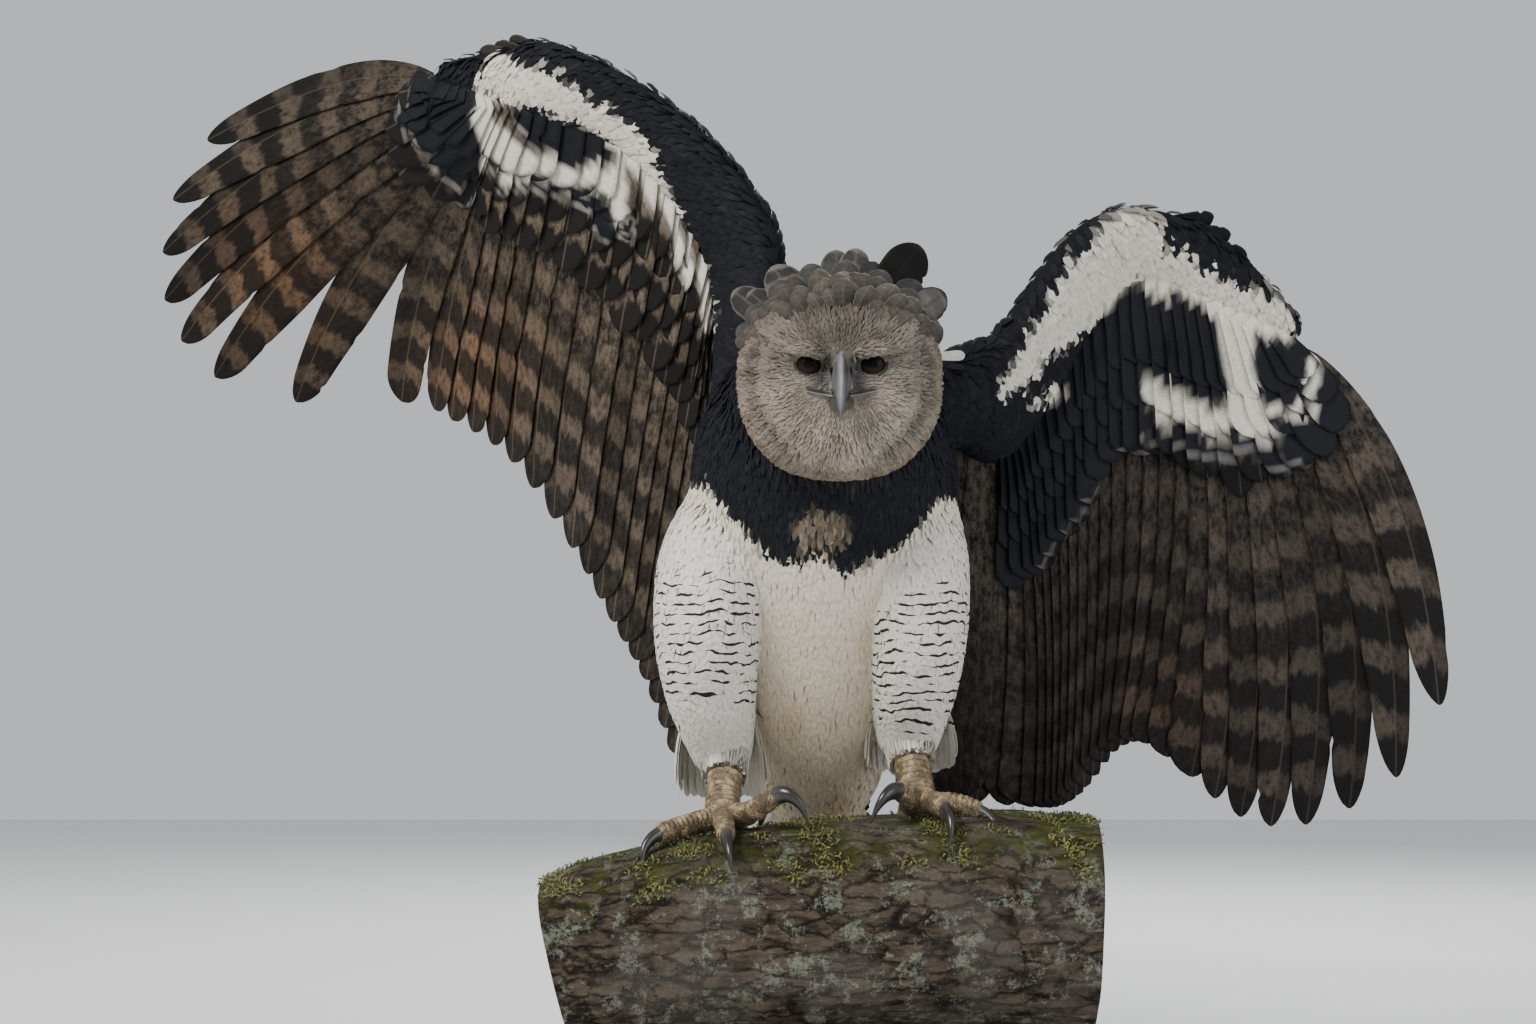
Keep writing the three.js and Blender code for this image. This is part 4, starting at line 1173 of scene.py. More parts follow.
def head_colour(off, noise):
    """The head's greys at places `off` from its middle."""
    x, z = off[:, 0], off[:, 2]
    out = np.abs(x)
    way = unit(off)
    cheek = smooth(12, -25, z)[:, None]
    crown = smooth(30, 66, z)[:, None]
    colour = lerp(lerp(HEAD_GREY, CHEEK_GREY, cheek), CROWN_GREY, crown)
    forehead = (bell(z - 32, 16) * bell(out, 26))[:, None]
    colour = lerp(colour, FOREHEAD_GREY, 0.75 * forehead)
    brow = (bell(z - 17 - 0.12 * (out - 28), 4) * bell(out - 30, 13))[:, None]
    colour = lerp(colour, CHEEK_GREY, 0.7 * brow)
    lore = (bell(out - 17, 7) * bell(z + 6, 10))[:, None]
    colour = lerp(colour, LORE_GREY, 0.8 * lore * (way[:, 1:2] < 0))
    side = (bell(out - 62, 14) * bell(z - 8, 26))[:, None]
    colour = lerp(colour, HEAD_GREY, 0.6 * side)
    radius, ruff = np.hypot(x, z + 5), smooth(40, 15, z) * smooth(25, 45, out)
    colour = lerp(colour, RUFF_BROWN, (smooth(79, 83, radius) * smooth(50, 25, z) * 0.8)[:, None])
    shade = 1 - 0.5 * bell(radius - 78, 2.8) * ruff
    angle = np.arctan2(x, z)
    streak = 0.10 * np.sin(23 * angle + 3 * np.sin(5 * angle)) + 0.06 * np.sin(61 * angle)
    blotch = np.sin(0.16 * x + 2 * np.sin(0.07 * z)) * np.sin(0.13 * z + 1.5 * np.sin(0.05 * x))
    noise = noise * (0.11 + 0.06 * smooth(79, 84, radius))
    return colour * (shade * (1 + noise + streak + 0.14 * blotch))[:, None]


def trunk_colour(x, z, front, noise):
    """Black breast, neck and back, with a beige mark on the breast, and a white belly, warmer and darker low
    down with a cream that is partly its own and partly painted shade.
    """
    edge = np.interp(x, BAND_EDGE[:, 0], BAND_EDGE[:, 1]) + 3.5 * noise
    dark = np.where(front, smooth(-4, 4, z - edge), 1.0)[:, None]
    black = BLACK * (1 + 0.35 * np.abs(noise))[:, None]
    # The cream grows low down on the belly: partly its own tint, partly painted shade
    cream_and_shade = smooth(260, 60, z)[:, None]
    white = lerp(WHITE, SHADED_CREAM, 0.45 + 0.5 * cream_and_shade) * (1 + 0.02 * noise)[:, None]
    stain = smooth(1.2, 1.9, np.sin(0.06 * x + 0.03 * z) + np.sin(0.045 * z - 0.05 * x + 2))[:, None]
    white = lerp(white, white * np.array([0.88, 0.76, 0.62]), 0.5 * stain)
    off = np.hypot(x / BEIGE_MARK["wide"], (z + 5 * noise - BEIGE_MARK["z"]) / BEIGE_MARK["high"])
    beige = (1 - smooth(0.75, 1.25, off)) * front * 0.8
    return lerp(lerp(white, black, dark), BEIGE * (1 + 0.4 * noise)[:, None], beige[:, None]), black


def arm_colour(side, x, z, angle, black, noise):
    """Black, with white marks on the wing's underside."""
    under = smooth(0.1, -0.35, np.sin(angle))
    white = smooth(-3, 3, strokes(x, z, LINING_WHITE[side]) + 3.5 * noise)
    dark = smooth(-3, 3, strokes(x, z, LINING_BLACK["right"][1:]) + 3 * noise) * (side == "right")
    return lerp(black, LINING * (1 + 0.06 * noise)[:, None], (white * (1 - dark) * under)[:, None])


def coat_colour(p, found, weights, normal):
    """The coat's colours, from where the feathers grow."""
    x, z = p[:, 0], p[:, 2]
    noise = random.normal(0, 1, len(p))
    trunk, black = trunk_colour(x, z, normal[:, 1] < 0.25, noise)
    weights = weights**3 / (weights**3).sum(1, keepdims=True)
    colours = np.zeros((len(p), 3))
    for k, name in enumerate(REGIONS):
        colour = trunk
        if name == "head":
            colour = head_colour(p - HEAD_AT, noise)
        elif name == "neck":
            colour = black
        elif name.startswith("thigh"):
            colour = WHITE * (1 + 0.03 * noise)[:, None]
        elif name.startswith("arm"):
            colour = arm_colour(name[4:], x, z, found[name][1], black, noise)
        colours += weights[:, k : k + 1] * colour
    return colours


# The coat's feathers: distance between two roots, length and half width
SPACING = {"torso": 3.9, "neck": 4.4, "head": 2.5, "thigh": 3.9, "arm": 5.1, "tail": 8.0}
LENGTH = {"torso": 24, "neck": 27, "head": 12, "thigh": 17, "arm": 20, "tail": 34}
HALF = {"torso": 2.3, "neck": 2.2, "head": 1.15, "thigh": 2.7, "arm": 3.7, "tail": 8}
COARSE = 1.9  # how much wider than on the front the feathers of the back and the crown are
FACE_BACK = -150  # the face ends at this y, under the crest's height
FACE_TOP = 474
BARE_BILL = {"wide": 9, "high": 18}  # no feathers grow under the bill's root
BARE_MOUTH = {"wide": 35, "below": 18.6, "half": 3.2}  # nor along the mouth, which rises outwards


def kind(name):
    return name.split("_")[0]


def weigh(p):
    found = ratios(p)
    near = np.stack([found[name][2] for name in REGIONS], axis=-1)
    weights = np.exp(-10 * (near - near.min(1, keepdims=True)))
    return found, weights / weights.sum(1, keepdims=True)


def bare(roots):
    """Which places of the face have no feathers: eyes, bill and mouth."""
    out, high = np.abs(roots[:, 0] - HEAD_AT[0]), roots[:, 2] - 406
    under_bill = (out < BARE_BILL["wide"]) & (np.abs(high) < BARE_BILL["high"])
    mouth = np.abs(high + BARE_MOUTH["below"] - 0.2 * out) < BARE_MOUTH["half"]
    found = (under_bill | mouth & (out < BARE_MOUTH["wide"])) & (roots[:, 1] < -190)
    for eye in EYE_MIDDLE.values():
        found |= np.linalg.norm(roots - eye, axis=1) <= EYE["radius"] + 2
    return found


def coat_part(name, region, chosen, coarse=1.0):
    """The tufts of one region's chosen triangles. `coarse` over 1 makes fewer, larger tufts."""
    sort = kind(region)
    roots, normals = scatter(surface, chosen, SPACING[sort] * coarse)
    found, weights = weigh(roots)
    t, angle, _ = found[region]
    n = len(roots)
    lie = unit(lies(roots, found, weights)) + (0.14 if sort == "head" else 0.06) * random.normal(0, 1, (n, 3))
    chance = random.normal(0, 1, (3, n))
    long = LENGTH[sort] * coarse**0.5 * (1 + 0.12 * chance[0])
    half = HALF[sort] * coarse * (1 + 0.10 * chance[1])
    depth = DEPTH[sort] * (1.0 + 0.05 * chance[2])
    keep = np.ones(n, bool)
    if sort == "head":
        near = smooth(30, 85, np.linalg.norm(roots - np.array([15, -222, 403]), axis=1))
        radius = np.hypot(roots[:, 0] - HEAD_AT[0], roots[:, 2] - HEAD_AT[2] + 5)
        ruff = smooth(79, 88, radius) * random.random(n) * (roots[:, 1] < FACE_BACK)
        long = long * lerp(0.4, 1.1, near)
        half = half * lerp(0.6, 1.1, near)
        depth = depth * lerp(0.3, 1.0, near) * (1 + 0.6 * ruff)
        keep = ~bare(roots)
    if sort == "thigh":
        long = long * (1 + 0.7 * smooth(0.75, 1.0, t))
    tint = coat_colour(roots + 0.6 * long[:, None] * unit(lie), found, weights, normals)
    values = [roots, normals, lie, long, half, depth, tint, cell(region, t, angle)]
    material = barred if sort == "thigh" else body_feathers
    coat = tufts(name, material, *[value[keep] for value in values], skin_tree)
    show(coat, {"thigh": "thigh_feathers", "head": "grey_feathers"}.get(sort, "white_feathers"))


skin_tree = BVHTree.FromObject(skin, bpy.context.evaluated_depsgraph_get())
surface = surface_of(skin)
middles = surface[0].mean(1)
front = surface[1].mean(1)[:, 1] < 0.3
face = (middles[:, 1] < FACE_BACK) & (middles[:, 2] < FACE_TOP)
low = middles[:, 2] < 250
owner = weigh(middles)[1].argmax(1)
for k, region in enumerate(REGIONS):
    mine = owner == k
    if region == "head":
        coat_part("coat_face", region, mine & face)
        coat_part("coat_head", region, mine & ~face, COARSE)
    elif region == "torso":
        coat_part("coat_belly", region, mine & low & front)
        coat_part("coat_breast", region, mine & ~low & front)
        coat_part("coat_back", region, mine & ~front, COARSE)
    else:
        coat_part("coat_" + region, region, mine)


def paint_skin():
    """Gives the skin the coat's colours, darker as painted shade where they show between the tufts."""
    points = mesh_points(skin)
    found, weights = weigh(points)
    paint(skin, "tint", 0.8 * coat_colour(points, found, weights, mesh_values(skin, "normal")))
    paint(skin, "vane", points)
    places = np.zeros((len(points), 2))
    owner = weights.argmax(1)
    for k, name in enumerate(REGIONS):
        chosen = owner == k
        places[chosen] = cell(name, found[name][0][chosen], found[name][1][chosen])
    unwrap(skin, places)


paint_skin()
flesh = ["torso", "neck", "head", "thigh_right", "thigh_left", "wing_right", "wing_left", "tail"]
show(skin, "white_feathers", *flesh)

# Wings

flights = flight_material("flight_feathers", (0.20, 0.162, 0.128, 1), (0.015, 0.0137, 0.0137, 1), 30)
tail_feathers = flight_material("tail_feathers", (0.15, 0.135, 0.12, 1), (0.010, 0.010, 0.011, 1), 34)
# Rows of coverts on the underside and on the back: how many, the share of the feather that they cover and
# their height over it
COVERT_ROWS = [
    (24, 0.40, -8), (24, 0.30, -11), (26, 0.20, -14),
    (24, 0.44, 8), (24, 0.32, 11), (24, 0.22, 14),
]
# The colour of the painted sunlight that shines through the feathers
SUNLIT_GLOW = np.array([2.3, 1.7, 1.3])
# Places where painted rusty sunlight shines through the flight feathers' undersides: x, z, half width and
# strength
SUNLIT_SPOTS = {"right": [(-572, 558, 58, 1.0), (-361, 455, 50, 0.7)], "left": [(339, 119, 34, 0.45)]}
# Each wing's tone: the left wing's darker tone is painted shade, as both wings are alike
WING_SHADED_TONE = {"right": np.array([0.66, 0.63, 0.58]), "left": np.array([0.38, 0.37, 0.37])}
OUTER_COVERTS = {"right": 0.36, "left": 0.72}  # the outermost covert's length as a share of the inner ones'
INNER_SOFT = {"right": 0.45, "left": 0.75}  # how much the innermost flight feathers' bars fade
FLIGHT_HALVES = (19, 33)
COVERT_HALVES = (18, 26)


def lining_tint(side, shift):
    """A covert's colours under the wing, from the wing's strokes, moved by `shift` mm for each feather."""
    def tint(points, s, x):
        px, pz = points[..., 0] + shift[0], points[..., 2] + shift[1]
        white = smooth(-3, 3, strokes(px, pz, LINING_WHITE[side]))
        black = smooth(-4, 4, strokes(px, pz, LINING_BLACK[side]))
        if side == "right":
            white = white * (1 - smooth(-2, 2, strokes(px, pz, LINING_BLACK[side][1:])))
        colour = lerp(BLACK * 1.1, LINING, white[..., None])
        plain = np.maximum(white, black)
        return lerp(WING_SHADED_TONE[side], colour, smooth(0.0, 0.3, plain)[..., None]), plain

    return tint


def sunlit_tint(tone, spots):
    """A flight feather's tint, with painted rusty sunlight shining through it around some places of the wing.
    """
    def tint(points, s, across):
        near = np.zeros(s.shape)
        for x, z, wide, much in spots:
            near = np.maximum(near, much * bell(points[..., 0] - x, wide) * bell(points[..., 2] - z, wide))
        colour = tone * lerp(np.ones(3), SUNLIT_GLOW, near[..., None])
        return colour / np.maximum(1, colour.max(-1, keepdims=True)), 0.0

    return tint


def black_tint(tone):
    def tint(points, s, x):
        rim = smooth(0.8, 1.0, np.abs(x))[..., None]
        return BLACK * lerp(tone, 1.6 * tone, rim), 1.0

    return tint


def flight_feathers(side, wing):
    sheets = Sheets(46, ACROSS, 0.25)
    for f in range(FEATHERS):
        place, long = wing_feather(wing, f)
        shape = finger_width if f >= FEATHERS - 7 else flight_width
        tone = WING_SHADED_TONE[side] * random.uniform(0.85, 1.15)
        # The right wing's outer feathers are darkened: painted shade
        if side == "right":
            tone = tone * lerp(1, 0.55, smooth(15, 19, f))
        tint = sunlit_tint(tone, SUNLIT_SPOTS[side])
        outward = f / FEATHERS
        soft = lerp(INNER_SOFT[side], 0.0, outward)
        sheets.add(place, long, FLIGHT_HALVES, shape, tint, lerp(46, 62, outward), 0.12, 0.02, soft=soft)
    show(sheets.build("flights_" + side, flights), "barred_feathers")


def covert_feathers(side, wing):
    sheets = Sheets(12, ACROSS_SMALL, 0.4)
    for count, cover, lift in COVERT_ROWS:
        for k in range(count):
            f = lerp(0.8, FEATHERS - 1.6, k / (count - 1)) + random.uniform(-0.1, 0.1)
            shorter = lerp(1, OUTER_COVERTS[side], max(0, (f - 14) / 10))
            reach = cover * shorter * random.uniform(0.95, 1.04)
            share = (FEATHERS - 2.4) / (count - 1)
            place, long = wing_feather(wing, f, lift + random.uniform(-0.5, 0.5), share)
            if lift > 0:
                tint = black_tint(random.uniform(0.9, 1.6))
            else:
                tint = lining_tint(side, random.normal(0, 5, 2))
            sheets.add(place, long * reach, COVERT_HALVES, covert_width, tint, 52, reach=reach, camber=0.1)
    show(sheets.build("coverts_" + side, flights), "black_feathers")


for side, wing in wings.items():
    flight_feathers(side, wing)
    covert_feathers(side, wing)

# Five long feathers between the left wing and the body
inner = Sheets(40, ACROSS)
for k, x in enumerate((96, 109, 122, 135, 148)):
    root, tip = np.array([x + 2.0 + 3 * k, 74, 400]), np.array([x, 116.0 + 3 * k, 14 + 3 * k])
    place = straight(root, tip, X, Y, lambda s, offset: 20 * s * (1 - s) + 0.1 * offset)
    inner.add(place, 386, (20, 22), flight_width, WING_SHADED_TONE["left"], 46, 0.12, 0.02, soft=0.8)
show(inner.build("inner_feathers", flights), "barred_feathers")

alulas = Sheets(24, ACROSS_SMALL)
ALULA_TONE = {"right": np.array([0.030, 0.026, 0.022]) / BLACK, "left": BLACK / BLACK}
for side, wing in wings.items():
    for k in range(3):
        root = wing.chord(np.array(3.9 + 0.15 * k), np.array(0.3))
        tip = wing.chord(np.array(4.9 + 0.2 * k), np.array(-0.1 + 0.06 * k))
        across = unit(wing.chord(np.array(4.4), np.array(1.0)) - wing.chord(np.array(4.4), np.array(0.0)))
        back = back_of(unit(tip - root), -across)
        place = straight(root, tip, -across, back, lambda s, offset, k=k: 3 - 3 * k + 0 * s)
        alulas.add(place, np.linalg.norm(tip - root), (9, 14), covert_width, black_tint(ALULA_TONE[side]))
show(alulas.build("alula_feathers", flights), "black_feathers")

# A single white feather on the left shoulder
pale = Sheets(12, ACROSS_SMALL)
root = np.array([104.0, -44, 441])
place = straight(root, root + [32.0, 8, 2], 0.3 * Y + Z, 0.9 * Y - 0.4 * Z, lambda s, offset: 0 * s)
pale.add(place, 33, (5, 5), covert_width, 0.8 * WHITE)
show(pale.build("shoulder_feather", body_feathers), "white_feathers")

# Tail

TAIL_LONG = np.linalg.norm(TAIL_TIP - TAIL_ROOT)
TAIL_SPREAD = (22, 78)  # how far the outermost feather stands out at its root and at its tip
# Rows of coverts: how many, the share of the tail that they cover, their height over it and their colour
TAIL_COVERTS = [(9, 0.34, 4, BLACK), (11, 0.24, 6, BLACK), (9, 0.42, -14, WHITE), (11, 0.3, -17, WHITE)]


def tail_feather(part, level):
    """A tail feather `part` of the way from the middle to the outermost one, `level` mm over the tail."""
    def place(s, offset):
        out = lerp(*TAIL_SPREAD, s) * part + offset
        points = TAIL_ROOT + (TAIL_TIP - TAIL_ROOT) * s[..., None]
        return points + X * out[..., None] + TAIL_UP * level, np.broadcast_to(TAIL_UP, points.shape)

    return place


fan = Sheets(54, ACROSS)
for f in range(12):
    place = tail_feather((f - 5.5) / 5.5, -1.8 * abs(f - 5.2))
    fan.add(place, TAIL_LONG, (28, 28), tail_width, bar=82, camber=0.03)
show(fan.build("tail_fan", tail_feathers), "barred_feathers")
tail_cover = Sheets(14, ACROSS_SMALL)
for count, cover, lift, tone in TAIL_COVERTS:
    for k in range(count):
        part = 2 * k / (count - 1) - 1
        level = lift - 1.4 * abs(k - (count - 1) / 2 + 0.3) * 4 / count
        reach = cover * random.uniform(0.95, 1.03) - 0.06 * part * part
        tint = tone * random.uniform(0.9, 1.1)
        place = tail_feather(part, level)
        tail_cover.add(place, TAIL_LONG * reach, (26, 26), covert_width, tint, reach=reach)
show(tail_cover.build("tail_coverts", body_feathers), "white_feathers")

# Crest

# Long feathers of the crest: degrees from upright, reach from the head's middle, half width, tone, the rim's
# tone and how strongly they are barred
CREST = [
    (-66, 102, 14, 0.05, 0.07, 0),
    (-51, 124, 15, 0.032, 0.12, 0.2),
    (-47, 112, 13, 0.034, 0.12, 0.2),
    (-31, 117, 19, 0.12, 0.12, 0.75),
    (-15, 105, 16, 0.05, 0.06, 0.2),
    (-1, 115, 15, 0.06, 0.10, 0.3),
    (8.5, 118, 15, 0.085, 0.14, 0.5),
    (18, 109, 12, 0.03, 0.03, 0),
    (31.5, 143, 21, 0.006, 0.010, 0.3),
    (41, 113, 16, 0.035, 0.05, 0),
    (52, 124, 16, 0.11, 0.010, 0.3),
    (66, 104, 14, 0.045, 0.06, 0),
]
CREST_ROOT = 62  # from the head's middle
CREST_RISE = 5
FEATHER_GREY = np.array([1.0, 0.95, 0.89])
SMALL_CREST = {"count": 7, "turn": 20, "reach": 101, "half": 15}  # the lower row before the long feathers


def round_head(out, angle, y):
    """Places at a distance and an angle from the head's axis."""
    return HEAD_AT + np.stack([out * np.sin(angle), y, out * np.cos(angle)], axis=-1)


def crest_feather(degrees, reach, forward, deep):
    """A feather of the crest whose root lies `deep` mm inside the crest's own."""
    root = CREST_ROOT - deep

    def place(s, offset):
        out = lerp(root, reach, s)
        lean = 10 - forward + 0.6 * (out - CREST_ROOT) + 0.12 * offset
        points = round_head(out, math.radians(degrees) + offset / out, lean) + CREST_RISE * Z
        return points, np.broadcast_to(Y, points.shape)

    return place, reach - root


def crest_tint(tone, edge, bands=0.0, base=0.4, waves=3.5):
    """A crest feather: darker at its base and sides with painted shade, with bars, a shaft and a rim in the
    colour `edge`.
    """
    def tint(points, s, x):
        rim = smooth(0.86, 1.0, np.maximum(np.abs(x), smooth(0.75, 1.0, s)))
        shaft = 0.45 * np.exp(-((x / 0.07) ** 2))
        bars = 1 - bands * smooth(-0.3, 0.3, np.cos(2 * np.pi * waves * s + x))
        # Painted shade: darker towards the root and the vane's edges, where the next feathers lie over it
        shade = lerp(base, 1.0, smooth(0.25, 0.85, s)) * (1 - 0.35 * np.abs(x) ** 3) * bars
        return lerp(tone * shade[..., None], edge, np.maximum(rim, shaft)[..., None]), 1.0

    return tint


crest = Sheets(26, ACROSS)
for degrees, reach, half, tone, edge, bands in CREST:
    place, long = crest_feather(degrees, reach, 0, 14)
    tint = crest_tint(FEATHER_GREY * tone, FEATHER_GREY * edge, bands)
    crest.add(place, long, (half, half), crest_width, tint, ragged=0.1, camber=-0.12)
for k in range(SMALL_CREST["count"]):
    degrees = SMALL_CREST["turn"] * (k - SMALL_CREST["count"] // 2) + 4
    place, long = crest_feather(degrees, SMALL_CREST["reach"], 22, 10)
    tint = crest_tint(FEATHER_GREY * 0.05, FEATHER_GREY * 0.07)
    crest.add(place, long, [SMALL_CREST["half"]] * 2, crest_width, tint, camber=-0.15)
show(crest.build("crest_fan", flights), "grey_feathers")

# Rows of rounded feathers on the crown: distance from the head's axis and y at root and tip, and half width
CROWN_ROWS = [
    [68, -26, 98, -12, 14.0],
    [65, -34, 93, -20, 13.5],
    [62, -40, 87, -28, 12.5],
    [58, -45, 81, -35, 11.5],
]
CROWN_TURN = 66  # degrees to each side of upright


def crown_feather(turn, row, reach, tilt, curl):
    """A feather of the crown's row, whose tip leans sideways by `tilt` and back by `curl`."""
    deep, start, _, end, _ = row

    def place(s, offset):
        out = lerp(deep, reach, s)
        angle = turn + (offset + tilt * s**2) / out
        y = lerp(start, end, s) - 2.5 * np.sin(np.pi * s) + 0.1 * offset + curl * s**4
        back = stacked(-0.6 * np.sin(angle), 0.8, -0.6 * np.cos(angle))
        return round_head(out, angle, y), back

    return place


crown = Sheets(16, ACROSS, 0.4)
for number, row in enumerate(CROWN_ROWS):
    low = number / (len(CROWN_ROWS) - 1)
    count = 11 + number % 2
    for k in range(count):
        turn = lerp(-CROWN_TURN, CROWN_TURN, (k + random.uniform(-0.3, 0.3)) / (count - 1))
        reach = row[2] * random.uniform(0.94, 1.05)
        tilt = random.uniform(-6, 6)
        place = crown_feather(math.radians(turn), row, reach, tilt, random.uniform(2, 7))
        front = lerp(CROWN_GREY, FOREHEAD_GREY, low) * random.uniform(0.8, 1.2)
        half = row[4] * random.uniform(0.7, 1.05)
        # The crown feathers' bases get painted shade, deepest in the upper rows
        tint = crest_tint(0.95 * front, 1.25 * front, 0.15, lerp(0.1, 0.5, low), 4.5)
        crown.add(place, row[2] - row[0], (half, half), covert_width, tint, ragged=0.25, camber=-0.3)
show(crown.build("crown_feathers", flights), "grey_feathers")

# Thigh flags: long feathers behind each shank

FLAGS = {
    "right": {"root": [-97, 30, 104], "tip": [-95, 58, 10]},
    "left": {"root": [87, 32, 116], "tip": [88, 58, 38]},
}
FLAG_TURN = 80  # degrees to each side of straight behind
FLAG_LAYERS = (13, 12)
FLAG_HALF = 7.5


def flag(root, tip, turn, layer):
    def place(s, offset):
        out = lerp(31, 41, s) + 20 * s * (1 - s) + 2 * layer
        angle = turn + offset / out
        normal = stacked(np.sin(angle), np.cos(angle), 0.0)
        points = root + (tip - root) * s[..., None] + normal * (out + 0.2 * offset)[..., None]
        return points + Z * (14 * np.abs(normal[..., 0]) * s)[..., None], normal

    return place


for side, ends in FLAGS.items():
    root, tip = np.array(ends["root"], float), np.array(ends["tip"], float)
    flags = Sheets(20, ACROSS_SMALL, 0.4)
    for layer, count in enumerate(FLAG_LAYERS):
        for k in range(count):
            turn = math.radians(lerp(-FLAG_TURN, FLAG_TURN, k / (count - 1)))
            reach = (1 - 0.14 * layer) * random.uniform(0.9, 1.0)
            long = np.linalg.norm(tip - root) * reach
            place = flag(root, tip, turn, layer)
            flags.add(place, long, (FLAG_HALF, FLAG_HALF), covert_width, WHITE, reach=reach, ragged=0.6)
    show(flags.build("thigh_flags_" + side, barred), "thigh_feathers")

# Bill, cere and mouth

def horn_material(name, grain):
    t = Tree(name, {"Roughness": 0.28, "Coat Weight": 0.25, "Coat Roughness": 0.15})
    fine = t.noise(t.scaled(t.place(), grain), 1.0, 4.0, 0.6)
    return t.finish(t.shaded(t.attribute("tint"), t.ramp(fine, 0.3, 0.7), 0.75, 1.15), fine, 0.0004, 0.35)


def cere_material():
    t = Tree("cere_skin", {"Roughness": 0.42, "Coat Weight": 0.1})
    colour = t.shaded(t.attribute("tint"), t.noise(t.place(), 120.0, 4.0), 0.75, 1.2)
    return t.finish(colour, t.cells(t.place(), 900.0), 0.0003, 0.5)


horn = horn_material("horn", (500, 120, 120))
bare_skin = cere_material()
bill = Limb(BILL)
BILL_MIDDLE = 14.7  # x
CERE_SHARE = 0.39  # how much of the bill the cere covers
NOSTRIL = {"out": 9.3, "z": 407, "half": 1.4, "high": 5.5, "lean": 0.12, "deep": 1.6}
BILL_WIDTH = 0.74
NOSTRIL_SHADE = np.full(3, 0.004)


def narrowed(t, angle):
    """The bill is narrow at its top and widest low down, where the mouth is."""
    c, d = np.abs(np.cos(angle)), np.sin(angle)
    upper = 0.95 - 0.62 * np.maximum(0, d) ** 1.1
    boxy = 0.92 / np.maximum(c, 0.5) * (1 - 0.55 * smooth(0.75, 1.0, t))
    return BILL_WIDTH * lerp(upper, np.maximum(upper * 0.95, boxy), smooth(0.0, -0.5, d))


def nostril(spot):
    """How deep in a nostril a place of the cere is, from 0 to 1: an upright slit in each of its sides."""
    high = spot[..., 2] - NOSTRIL["z"]
    out = np.abs(spot[..., 0] - BILL_MIDDLE) - NOSTRIL["out"] + NOSTRIL["lean"] * high
    return bell(out, NOSTRIL["half"]) * bell(high, NOSTRIL["high"])


def cere_relief(t, angle):
    return -NOSTRIL["deep"] * nostril(bill.at(t, angle, 0.5, narrowed(t, angle)))


# The nostrils' slits are painted near black: painted shade inside the openings
def with_nostrils(points, tone):
    return lerp(tone, NOSTRIL_SHADE, smooth(0.3, 0.6, nostril(points))[:, None])


def cere_tint(points):
    low = smooth(405, 394, points[:, 2])[:, None]
    return with_nostrils(points, lerp(np.array([0.13, 0.135, 0.14]), np.full(3, 0.32), low))


def bill_tint(points):
    """Dark horn, paler at its sides, with a painted highlight along its ridge and painted shade just right of
    it.
    """
    x = points[:, 0] - BILL_MIDDLE
    # A painted highlight along the ridge's left, and painted shade on its right
    ridge = 0.16 * bell(x + 0.6, 1.9)
    ridge_shade = -0.05 * bell(x - 3.4, 1.8)
    sides = 0.10 * smooth(4, 11, np.abs(x))
    tip = smooth(366, 388, points[:, 2])
    tone = np.maximum(0.02, 0.075 + ridge + ridge_shade + sides) * lerp(0.35, 1.0, tip)
    return with_nostrils(points, tone[:, None] * np.array([1.0, 1.0, 1.03]))


cere = bill.solid(110, 120, 0.5, relief=cere_relief, wider=narrowed, span=(0, CERE_SHARE))
cere = mesh_object("cere_skin", *cere, bare_skin)
paint(cere, "tint", cere_tint(mesh_points(cere)))
unwrap_front(cere, [15, 405], 80)
show(cere, "cere", "cere")
upper = bill.solid(110, 80, 0.0, wider=narrowed, span=(CERE_SHARE - 0.03, 1))
upper = mesh_object("bill_horn", *upper, horn)
paint(upper, "tint", bill_tint(mesh_points(upper)))
unwrap_front(upper, [15, 385], 80)
show(upper, "horn", "bill_upper")
lower = mesh_object("bill_lower_horn", *Limb(LOWER_BILL).solid(30, 40), horn)
paint(lower, "tint", np.full(3, 0.05))
unwrap_front(lower, [15, 385], 80)
show(lower, "horn", "bill_lower")

# The mouth's corners: two lips and the dark line between them, painted shade in the mouth's crease, by
# height, half thickness and tone
LIPS = {"upper": (1.5, 0.9, 0.04), "lower": (-1.5, 1.0, 0.15), "line": (0, 0.9, 0.004)}
LIP_OUT = (7, 14, 22, 30)  # places along a lip, outwards from the bill's middle
LIP_RAISED = np.array([3.4, 2.8, 1.6])


def lip(part, side, up, size, tone):
    spots = np.array([[15 + SIDES[side] * out, -232 + 0.6 * out, 387.4 + 0.2 * out + up] for out in LIP_OUT])
    spots[1:] = settle(skin_tree, spots[1:], LIP_RAISED)[0]
    keys = [[k / 3, *spot, size * (1 - 0.15 * k), size * (1 - 0.15 * k)] for k, spot in enumerate(spots)]
    piece = mesh_object(f"lip_{part}_{side}", *Limb(keys, Z).solid(24, 16), bare_skin)
    paint(piece, "tint", tone * np.array([1.0, 0.97, 0.93]))
    unwrap_front(piece, [15, 390], 80)
    show(piece, "cere")


for side in SIDES:
    for part, (up, size, tone) in LIPS.items():
        lip(part, side, up, size, tone)

# Eyes, lids and brows

LID = {"half": 12.0, "up": 8.0, "down": 10.2, "over": 1.0, "thick": 1.4}


def ball(rows, cols, centre, radius):
    def place(u, v):
        a, b = np.pi * u, 2 * np.pi * v
        return centre + radius * stacked(np.sin(a) * np.cos(b), -np.cos(a), np.sin(a) * np.sin(b))

    return closed_points(rows, cols, place), closed_faces(rows, cols)


